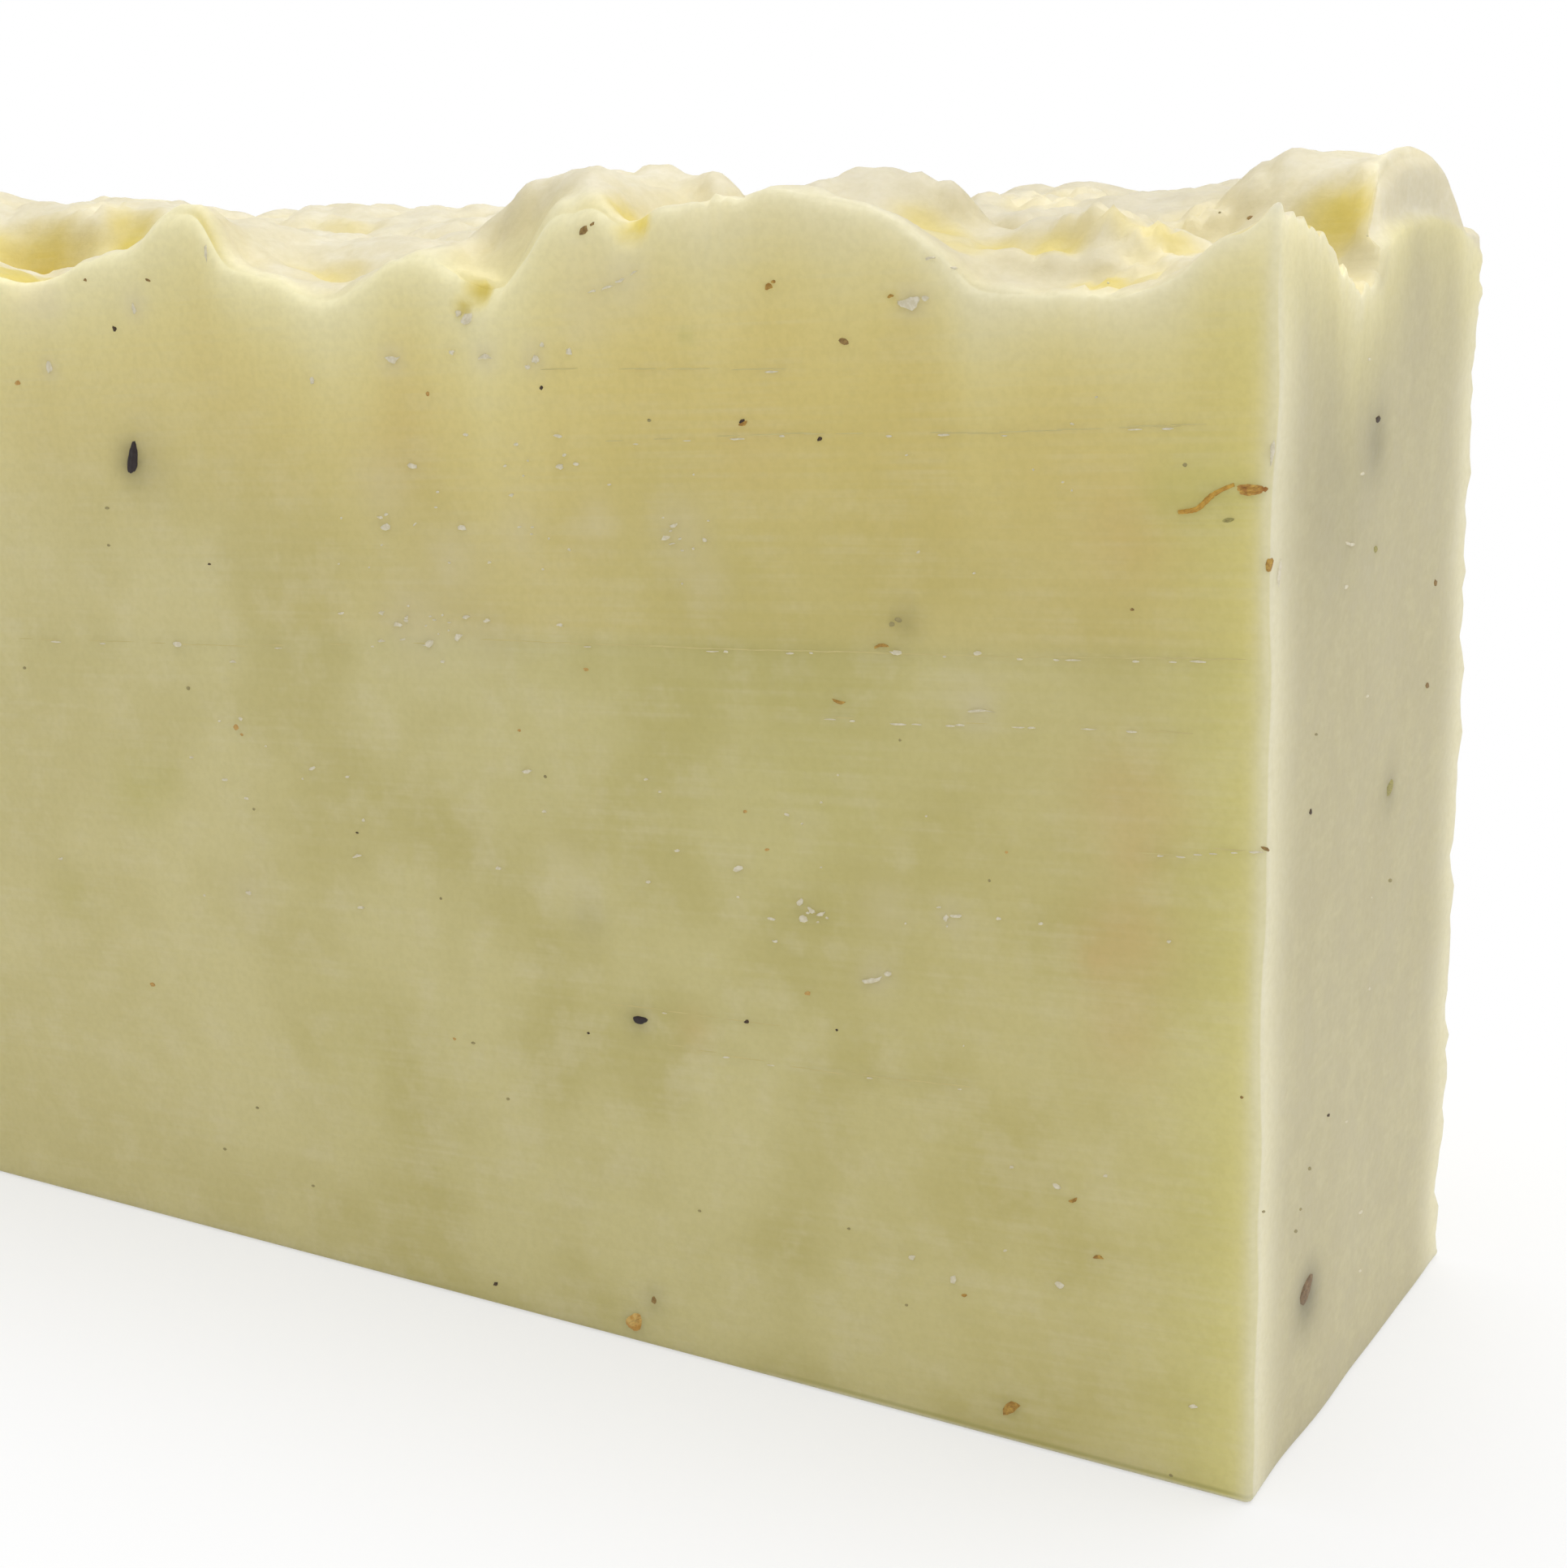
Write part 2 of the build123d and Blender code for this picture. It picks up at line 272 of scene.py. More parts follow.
def solid_heights(xs, ys):
    """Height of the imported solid's torn top over a grid of places, its facets smoothed away."""
    inset = UPRIGHT_RADIUS * 1.05
    down = Vector((0, 0, -1))
    heights = np.empty((len(xs), len(ys)))
    for i, x in enumerate(np.clip(xs, -SIDE_X + inset, SIDE_X - inset)):
        for j, y in enumerate(np.clip(ys, -SIDE_Y + inset, SIDE_Y - inset)):
            heights[i, j] = PACKED.ray_cast(Vector((x, y, PEAK_Z * 2)), down)[0].z
    return soften(heights, 3)


def soften(grid, times):
    """A grid of numbers blurred by its neighbours, as often as told."""
    for _ in range(times):
        padded = np.pad(grid, 1, mode="edge")
        rows = padded[:-2] + 2 * padded[1:-1] + padded[2:]
        grid = (rows[:, :-2] + 2 * rows[:, 1:-1] + rows[:, 2:]) / 16
    return grid


# Small forms of the torn top, by pixel: place, reach along and across the bar, rise, and how
# much golden shade is painted there. The largest are in the solid, and only coloured here.
TOP_FORMS = (
    ((45, 298), 3.6, 3, -0.6, 1), ((40, 318), 4.2, 4.2, -1.25, 1), ((85, 312), 2.6, 1.8, -0.5, 1),
    ((46, 326), 1.7, 2, -0.6, 1), ((52, 309), 2.6, 1.3, -0.6, 1), ((66, 302), 2.8, 1.3, -0.6, 1),
    ((58, 292), 3, 1.4, -0.6, 1), ((25, 303), 2.4, 1.3, -0.7, 0.9), ((20, 312), 2, 1.4, -0.3, 0.7),
    ((5, 290), 3.5, 1.8, -0.3, 0.85), ((108, 283), 2.4, 0.9, -0.3, 0.7), ((157, 276), 1.5, 2, -0.9, 1),
    ((150, 262), 1.3, 1.2, -0.3, 0.8), ((90, 262), 3, 0.8, 0.25, 0), ((246, 292), 1.2, 0.8, -0.35, 0.7),
    ((425, 276), 2.6, 1, -0.3, 0.5), ((400, 337), 2.6, 0.6, -0.2, 0.75), ((435, 325), 1.2, 0.5, -0.25, 0.5),
    ((600, 300), 1.2, 0.9, -0.3, 0.45), ((585, 352), 0.9, 0.6, -0.4, 0.9), ((774, 262), 0.9, 1.3, -0.5, 1),
    ((722, 262), 2, 1.2, -0.2, 0.3), ((1150, 268), 2, 1.5, -0.4, 0.75), ((1180, 290), 1.6, 0.9, -0.3, 0.6),
    ((1228, 288), 1.2, 1.2, -0.5, 0.85), ((1298, 290), 1.7, 1.2, -0.5, 0.85),
    ((1325, 280), 0.9, 0.8, -0.3, 0.6), ((1240, 304), 2.4, 0.5, 0.3, 0), ((1262, 262), 0.9, 1.6, 0.35, 0),
    ((1362, 338), 1.7, 0.7, -0.5, 0.95), ((1421, 324), 0.8, 0.5, -0.35, 0.75),
    ((1340, 312), 1.2, 0.7, 0.35, 0), ((1378, 286), 1.5, 0.9, 0.4, 0), ((1412, 292), 1, 0.8, 0.3, 0),
    ((1446, 286), 2, 1, -0.3, 0.7), ((1390, 272), 1.4, 0.8, -0.2, 0.5), ((1539, 275), 0.7, 0.7, -0.4, 0.7),
    ((1655, 268), 2.4, 1.5, -0.4, 1), ((1622, 274), 1, 1.2, -0.3, 0.8), ((1718, 288), 0.8, 0.8, -0.2, 0.35),
    ((1735, 212), 3, 2.6, 0.7, 0), ((1768, 206), 1.6, 2.2, 0.7, 0), ((224, 275), 3, 2.6, 0.45, 0),
    ((335, 262), 3, 3, -0.35, 0), ((1150, 224), 1.5, 1.6, 0.4, 0), ((1562, 206), 1.9, 2.2, 0.5, 0),
    ((250, 270), 1.4, 1.8, 0.3, 0), ((745, 228), 2.6, 2.5, 0.4, 0), ((830, 222), 1.8, 1.8, -0.15, 0),
    ((896, 228), 1.4, 1.5, 0.6, 0), ((1020, 225), 1.3, 1.6, 0.4, 0), ((580, 258), 1.2, 1.8, -0.4, 0),
    ((812, 207), 1.6, 1.4, -0.3, 0), ((970, 240), 1, 1.6, -0.4, 0), ((640, 252), 0.9, 1.6, 0.55, 0),
    ((1180, 250), 0.9, 1.4, 0.4, 0), ((1780, 204), 0.9, 1.6, 0.4, 0), ((680, 250), 1.6, 1.6, 0.3, 0),
)
# Pits in the cut face under the rim, by pixel: place, reach, depth, and how much golden shade is painted in
# them
FACE_PITS = (
    ((583, 360), 0.75, 0.8, 0.95), ((567, 379), 0.45, 0.4, 0.8), ((778, 276), 0.8, 0.6, 1),
    ((768, 284), 0.6, 0.5, 0.9), ((1352, 339), 0.7, 0.5, 0.9), ((1378, 337), 0.7, 0.5, 0.9),
    ((1421, 325), 0.5, 0.35, 0.8), ((1098, 366), 0.3, 0.2, 0.4),
)
# Where the top is crumbly, by pixel: place and reach
CRUMBLY_PLACES = (
    ((1385, 300), 4.2), ((1380, 335), 3), ((1470, 270), 3), ((1300, 240), 4), ((580, 385), 1.2),
    ((1660, 340), 2), ((1690, 250), 2), ((870, 250), 1.5), ((130, 250), 2),
)


def photo_bell(pixel, x, y, along, across):
    """Bell over the top's places round a pixel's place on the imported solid."""
    spot = photo_place(pixel, PACKED)[0]
    return np.exp(-((((x - spot.x) / along) ** 2 + ((y - spot.y) / across) ** 2) ** 1.5))


def torn_relief(xs, ys, heights):
    """Lumps, crumbs and fine tears of the torn top, in millimetres, and the golden shade painted in its
    hollows.
    """
    x, y = np.meshgrid(xs, ys, indexing="ij")
    crumbly = np.full_like(x, LEAST_CRUMBLE)
    for pixel, reach in CRUMBLY_PLACES:
        crumbly = np.maximum(crumbly, photo_bell(pixel, x, y, reach, reach))
    relief = np.empty_like(x)
    for i, j in np.ndindex(x.shape):
        spot = Vector((x[i, j], y[i, j], 3.7))
        spot = spot + noise.noise_vector(spot / WARP_SIZE) * WARP_REACH
        near, far = noise.voronoi(spot / LUMP_SIZE)[0][:2]
        lump = min(far - near, 0.5) - 0.3
        near, far = noise.voronoi(spot / CRUMB_SIZE + Vector((5, 1, 8)))[0][:2]
        crumb = min(far - near, 0.4) - 0.22
        grain = noise.fractal(spot / GRAIN_SIZE, 0.9, 2.0, 2)
        relief[i, j] = LUMP_RISE * lump + crumbly[i, j] * (CRUMB_RISE * crumb + GRAIN_RISE * grain)
    golden = np.zeros_like(x)
    for pixel, along, across, rise, gold in TOP_FORMS:
        bell = photo_bell(pixel, x, y, along, across)
        relief += rise * bell
        above = heights - photo_place(pixel, PACKED)[0].z - GOLD_RISE
        golden = np.maximum(golden, gold * bell * falloff(np.maximum(above, 0), GOLD_FADE))
    return relief, golden, crumbly


def openness(heights, xs, ys):
    """How much of the sky each place of the torn top sees, 1 on open ground, less in hollows."""
    seen = np.zeros_like(heights)
    ways = [(math.cos(a), math.sin(a)) for a in np.arange(0, 2 * math.pi, math.pi / 4)]
    column, depth = np.meshgrid(np.arange(len(xs)), np.arange(len(ys)), indexing="ij")
    for along, across in ways:
        steepest = np.zeros_like(heights)
        for distance in SKY_STEPS:
            to_x = column + round(along * distance / COLUMN_PITCH)
            to_y = depth + round(across * distance / DEPTH_PITCH)
            inside = (to_x >= 0) & (to_x < len(xs)) & (to_y >= 0) & (to_y < len(ys))
            there = heights[np.clip(to_x, 0, len(xs) - 1), np.clip(to_y, 0, len(ys) - 1)]
            slope = np.where(inside, (there - heights) / distance, 0.0)
            steepest = np.maximum(steepest, slope)
        seen += 1 - steepest / np.hypot(1, steepest)
    return seen / len(ways)


def lattice(columns, depths, rows):
    """Points and squares of a box's four sides and top, each edge's points shared.
    Gives the points' lattice places, the squares, and the loop of points round the foot."""
    shape = (columns, depths, rows)
    marks = np.zeros(shape, bool)
    marks[[0, -1], :, :] = True
    marks[:, [0, -1], :] = True
    marks[:, :, -1] = True
    numbers = np.full(shape, -1)
    numbers[marks] = np.arange(marks.sum())

    def squares(sheet, flipped):
        ring = np.stack([sheet[:-1, :-1], sheet[1:, :-1], sheet[1:, 1:], sheet[:-1, 1:]], axis=-1)
        ring = ring.reshape(-1, 4)
        return ring[:, ::-1] if flipped else ring

    faces = np.concatenate([
        squares(numbers[:, :, -1], False),
        squares(numbers[:, 0, :], False),
        squares(numbers[:, -1, :], True),
        squares(numbers[0, :, :], True),
        squares(numbers[-1, :, :], False),
    ])
    foot = np.concatenate([
        numbers[:-1, 0, 0], numbers[-1, :-1, 0], numbers[:0:-1, -1, 0], numbers[0, :0:-1, 0],
    ])
    return np.argwhere(marks), faces, foot


def rounded(points, heights, radius):
    """Points on a box pulled in to rounded edges: heights gives each point's top."""
    core = np.empty_like(points)
    for axis, side in ((0, SIDE_X), (1, SIDE_Y)):
        core[:, axis] = np.clip(points[:, axis], -side + radius, side - radius)
    core[:, 2] = np.clip(points[:, 2], radius, heights - radius)
    reach = points - core
    length = np.linalg.norm(reach, axis=1)
    shrink = np.where(length > radius, radius / np.maximum(length, 1e-9), 1.0)
    return core + reach * shrink[:, None]


def falloff(distance, reach):
    return np.exp(-(distance / reach) ** 2)


# Painted grey shade in the soap round the dark bits, where they darken the light scattered under the surface,
# by pixel: place, reach and depth of tone
HALO_SHADES = (
    ((168, 567), 0.95, 0.75), ((180, 572), 1.9, 0.18), ((788, 1257), 0.7, 0.35), ((1116, 766), 0.8, 0.3),
    ((725, 1132), 1.2, 0.16), ((806, 1602), 0.7, 0.25), ((1606, 1600), 1.6, 0.7), ((1699, 545), 1.6, 0.45),
    ((1652, 590), 4.5, 0.2), ((1713, 975), 1.1, 0.25),
)

# Pinkish tan patches in the cut face near the right edge, by pixel: place, reach, strength; the one at (700,
# 305), on the slope under the rim, is painted shade
TAN_PATCHES = (
    ((1395, 655), 2.2, 0.5), ((1385, 985), 2.4, 0.6), ((1395, 1056), 1.2, 0.7), ((1392, 1160), 2.3, 0.85),
    ((1352, 1185), 0.9, 0.8), ((1385, 1275), 2, 0.5), ((1440, 1000), 1.6, 0.4), ((905, 560), 2.6, 0.3),
    ((480, 545), 3.2, 0.3), ((855, 1270), 1, 0.45), ((1530, 520), 2, 0.25), ((700, 305), 1.8, 0.8),
)
# Greener, clearer patches, by pixel: place, reach, strength
GREEN_PATCHES = (
    ((170, 975), 2, 0.8), ((205, 960), 1.4, 0.6), ((1010, 960), 3, 0.5), ((90, 1105), 1.6, 0.5),
    ((1490, 605), 2.4, 0.6), ((1450, 605), 1.5, 0.5), ((440, 1290), 4.5, 0.3), ((500, 640), 5, 0.25),
    ((980, 900), 13, 0.45), ((850, 645), 5, 0.4), ((845, 413), 0.45, 1), ((1440, 609), 1, 0.9),
    ((1475, 603), 0.9, 0.9), ((1515, 606), 0.9, 0.8), ((1548, 603), 0.8, 0.6),
)
# Pinkish white hazes in the cut face, by pixel
HAZES = (
    ((470, 600), 1.6, 0.4), ((560, 690), 1.8, 0.45), ((640, 655), 1.4, 0.4), ((735, 640), 1.3, 0.4),
    ((515, 770), 2.2, 0.5), ((600, 790), 1.6, 0.4), ((840, 650), 1.8, 0.5), ((870, 720), 1.4, 0.4),
    ((1205, 868), 1, 0.7), ((1090, 1120), 1.4, 0.4), ((1080, 1205), 1, 0.6), ((1170, 1128), 0.8, 0.5),
    ((305, 1100), 1.4, 0.4), ((700, 1075), 1.6, 0.3), ((165, 375), 0.9, 0.6), ((35, 360), 1.6, 0.6),
    ((60, 370), 1.2, 0.5), ((60, 455), 0.6, 0.5), ((482, 443), 0.9, 0.5), ((598, 440), 0.8, 0.6),
    ((655, 440), 0.8, 0.5), ((770, 345), 1.6, 0.5), ((720, 390), 1.4, 0.35), ((1125, 373), 0.9, 0.5),
)
# Greyer soap in the notch of the right end, by pixel
NOTCH = (((1662, 306), 1.0, 0.7), ((1678, 324), 1.0, 0.8), ((1696, 336), 0.8, 0.6))


def patch_tone(points, patches):
    """Strength of soft patches at each point, by pixels of the photograph."""
    clear = np.ones(len(points))
    for pixel, reach, strength in patches:
        distance = np.linalg.norm(points - np.array(photo_place(pixel, PACKED)[0]), axis=1)
        clear *= 1 - strength * falloff(distance, reach)
    return 1 - clear


def lump_share(points):
    """How far points by the right end lie above the crease under the high lump, 0 to 1."""
    line = []
    for pixel in END_CREASE:
        ray = photo_ray(pixel)
        line.append(CAMERA_PLACE + ray * ((SIDE_X - CAMERA_PLACE.x) / ray.x))
    crease = np.interp(points[:, 1], [p.y for p in line], [p.z for p in line], left=1e3, right=1e3)
    share = np.clip((points[:, 2] - crease + 0.1) / 0.45, 0, 1)
    return share * share * (3 - 2 * share) * falloff(SIDE_X - points[:, 0], 1.5)


def wave(places, scale, seed):
    """Smooth noise along one way, about -1 to 1."""
    return np.array([noise.noise(Vector((place / scale, seed, 0))) for place in places]) * 2


# The torn top is calmer by the rims: the share of its relief there, and how far in the calm reaches
RIM_CALM, CALM_REACH = 0.3, 1.2
# How far back the corrections of the cut face's rim stay whole, and how they fade behind that
SHIFT_FROM, SHIFT_REACH = 0.8, 1.8
# Share of the sky that a place in the hollows sees where its painted golden shade starts, and where that is
# at its deepest
GOLD_FROM_SKY, DEEPEST_SKY = 0.86, 0.52
# Depth of the waves of the sides: by the mould's wall, on the crumbly far edges and the near
# ones, and by the knife. The sides lie a little inside the solid's, to leave room for them.
MOULD_WAVE, FAR_EDGE_WAVE, NEAR_EDGE_WAVE, DRAG_WAVE = 0.24, 0.16, 0.06, 0.09
SIDE_INSET = 0.05
# Knife drags on the cut faces rise by this much for each millimetre to the right
DRAG_SLOPE = 0.08
# The thin pale lip along the cut face's foot: where it starts, the groove over it and its height
LIP_FROM, LIP_GROOVE, LIP_HEIGHT = 16.0, 0.09, 0.4


def top_grid(xs, ys):
    """Heights of the torn top over a grid of places, how much golden shade is painted on it and how crumbly.
    """
    heights = solid_heights(xs, ys)
    relief, golden, crumbly = torn_relief(xs, ys, heights)
    rim_gap = np.minimum((SIDE_X - np.abs(xs))[:, None], (SIDE_Y - np.abs(ys))[None, :])
    calm = RIM_CALM + (1 - RIM_CALM) * (1 - np.exp(-rim_gap / CALM_REACH))
    heights = heights + relief * np.maximum(calm, 0.8 * crumbly)
    near_front = falloff(np.maximum(SIDE_Y + ys - SHIFT_FROM, 0), SHIFT_REACH)
    for pixel, reach, rise in RIM_SHIFTS:
        spot = photo_place(pixel, PACKED)[0]
        heights += rise * falloff(xs - spot.x, reach)[:, None] * near_front[None, :]
    torn_edge = wave(ys, 1.1, 21.0) + 0.7 * wave(ys, 0.6, 27.0)
    torn_stretch = np.clip((JAGGED_DEPTH - SIDE_Y - ys) / 1.5, 0, 1)
    heights += JAGGED_RISE * falloff(SIDE_X - xs, 0.7)[:, None] * (torn_edge * torn_stretch)[None, :]
    sky = soften(openness(heights, xs, ys), 2)
    shaded = np.clip((GOLD_FROM_SKY - sky) / (GOLD_FROM_SKY - DEEPEST_SKY), 0, 1)
    return heights, np.maximum(soften(golden, 1), HOLLOW_SHARE * shaded), crumbly


def soft_rims(x, y):
    """Added radius of the cut face's soft rims, and that of the high lump's roll."""
    softness = sum(more * falloff(x - place, reach) for place, reach, more in SOFT_RIMS)
    depth, reach, more = LUMP_ROLL
    roll = more * np.exp(-(((y + SIDE_Y - depth) / reach) ** 4)) * falloff(SIDE_X - x, 6.0)
    return softness * falloff(SIDE_Y + y, 6.0), roll


def edge_radii(points, below_rim, rim_wave, softer, crumbly):
    """How round the bar is at each point, by its rim, its foot and its upright edges."""
    x, y, z = points.T
    jagged = falloff(SIDE_X - x, 2.0) * np.clip((JAGGED_DEPTH - SIDE_Y - y) / 2, 0, 1)
    sharp = np.maximum(falloff(np.hypot(SIDE_X - x, SIDE_Y + y), 3.0), np.maximum(jagged, crumbly))
    rim = RIM_RADIUS * (1 + 0.7 * np.clip(rim_wave * 2, -0.8, 1)) + softer
    rim = rim + (PEAK_RADIUS - rim) * sharp
    rim_share = np.exp(-((np.minimum(below_rim, 12) / np.maximum(2.2, 1.4 * rim)) ** 2))
    radius = UPRIGHT_RADIUS + (rim - UPRIGHT_RADIUS) * rim_share
    return radius + (BASE_RADIUS - radius) * falloff(z, 1.0) * (1 - rim_share)


def wear_sides(moved, points, lump):
    """Moves the rounded points by the waves, drags and tears of the sides."""
    x, y, z = points.T
    end_gap, cut_gap = SIDE_X - np.abs(x), SIDE_Y - np.abs(y)
    mould = np.array([noise.noise(Vector((a * 0.02, b, c)) / 7.0 + Vector((3, 1, 4))) for a, b, c in points])
    drag = np.array([noise.noise(Vector((a * 0.02, 7, (c - DRAG_SLOPE * a) * 0.2))) for a, _, c in points])
    far_edge = wave(z, 1.7, 2.0) + 0.5 * wave(z, 0.7, 5.0)
    outward = falloff(end_gap, 0.6) * (MOULD_WAVE * mould - SIDE_INSET)
    outward += falloff(SIDE_Y - y, 0.8) * falloff(end_gap, 1.2) * (FAR_EDGE_WAVE * far_edge + 0.04)
    outward += falloff(SIDE_Y + y, 0.5) * falloff(end_gap, 0.5) * NEAR_EDGE_WAVE * wave(z, 4.0, 8.0)
    moved[:, 0] += np.sign(x) * outward - lump * np.interp(y, *LUMP_SET_BACK)
    moved[:, 1] += np.sign(y) * falloff(cut_gap, 0.4) * (DRAG_WAVE * drag - SIDE_INSET)
    lip = np.clip((x - LIP_FROM) / 6, 0, 1) * (y < -SIDE_Y + 0.4)
    moved[:, 1] += LIP_GROOVE * lip * falloff(z - LIP_HEIGHT, 0.12)


def dig_pits(moved):
    """Digs the pits under the rim, and gives how much golden shade is painted at each point for them."""
    pits = np.zeros(len(moved))
    for pixel, reach, deep, gold in FACE_PITS:
        spot = np.array(photo_place(pixel, PACKED)[0])
        bell = np.exp(-((np.linalg.norm(moved - spot, axis=1) / reach) ** 3))
        moved[:, 1] += deep * bell
        pits = np.maximum(pits, gold * bell)
    return pits


def close_foot(moved, foot):
    """The flat bottom: a loop of points inside the foot's own, and the faces that close it."""
    inset = moved[foot].copy()
    for axis, side in ((0, SIDE_X), (1, SIDE_Y)):
        inset[:, axis] = np.clip(inset[:, axis], -side + 2 * BASE_RADIUS, side - 2 * BASE_RADIUS)
    inset[:, 2] = 0
    ring = np.arange(len(moved), len(moved) + len(foot))
    skirt = np.stack([np.roll(foot, -1), foot, ring, np.roll(ring, -1)], axis=1)
    return inset, skirt.tolist() + [ring[::-1].tolist()]


def soap_mesh():
    xs = spread(-SIDE_X, SIDE_X, COLUMN_PITCH)
    ys = spread(-SIDE_Y, SIDE_Y, DEPTH_PITCH)
    shares = row_shares()
    heights, hollow_shade, crumbly = top_grid(xs, ys)
    places, faces, foot = lattice(len(xs), len(ys), len(shares))
    i, j, k = places.T
    top = heights[i, j]
    points = np.stack([xs[i], ys[j], shares[k] * top], axis=1)
    on_top = k == len(shares) - 1
    below_rim = np.where(on_top, 0.0, top - points[:, 2])
    end_gap, cut_gap = SIDE_X - np.abs(points[:, 0]), SIDE_Y - np.abs(points[:, 1])
    on_end = (end_gap < 1e-6) & (cut_gap > 0.3)

    rim_wave = np.array([noise.noise(Vector((x, y, 9)) / 3.0) for x, y in points[:, :2]])
    softness, roll = soft_rims(points[:, 0], points[:, 1])
    radii = edge_radii(points, below_rim, rim_wave, softness + roll, crumbly[i, j])
    moved = rounded(points, top, radii)
    lump = lump_share(points)
    wear_sides(moved, points, lump)
    pits = dig_pits(moved)
    inset, foot_faces = close_foot(moved, foot)
    moved[:, 2] = np.maximum(moved[:, 2], 0)

    near_rim = np.minimum(cut_gap, end_gap + 0.3)
    torn = np.where(on_top, np.clip(near_rim / (0.5 + 1.2 * (softness + roll)), 0, 1), 0.0)
    tones = {
        "torn": np.maximum(torn, lump),
        # Reach of the painted glow and highlight under the rim
        "rim": np.exp(-((below_rim / (2.1 + 0.8 * softness + rim_wave)) ** 1.3)),
        # Golden shade painted in the hollows and pits
        "hollow_shade": np.maximum(pits, np.where(on_top, hollow_shade[i, j], 0.0)),
        "mould": on_end.astype(float),
        # Pallor by the edges, partly the soap's own and partly a painted glow
        "edge": np.where(on_end, falloff(cut_gap, 2.6), falloff(end_gap, 4.2)),
        # Reach of the painted highlight along the upright corners
        "corner": falloff(np.hypot(end_gap, cut_gap), 0.7),
    }
    tables = {"halo_shade": HALO_SHADES, "tan": TAN_PATCHES, "green": GREEN_PATCHES, "haze": HAZES, "notch": NOTCH}
    tones |= {name: patch_tone(points, patches) for name, patches in tables.items()}
    mesh = bpy.data.meshes.new("soap_bar_skin")
    corners = np.concatenate([moved, inset]) * MM
    mesh.from_pydata(corners.tolist(), [], faces.tolist() + foot_faces)
    for name, values in tones.items():
        layer = mesh.attributes.new(name, "FLOAT", "POINT")
        layer.data.foreach_set("value", np.pad(values, (0, len(foot))).astype(np.float32))
    mesh.shade_smooth()
    mesh.update()
    return mesh


# Heights of the knife's band on the cut faces and of the warmer stretch above it, a painted glow of the top
# light, the reach of the pale glow and of the line of painted shade by the foot, all in millimetres
BAND_EDGE, TOP_GLOW_STRETCH = (36.2, 37.8), (38.0, 52.0)
FOOT_STRIP, FOOT_LINE, FOOT_LINE_END = (0.2, 0.3), (0.26, 0.36), (0.4, 0.62)


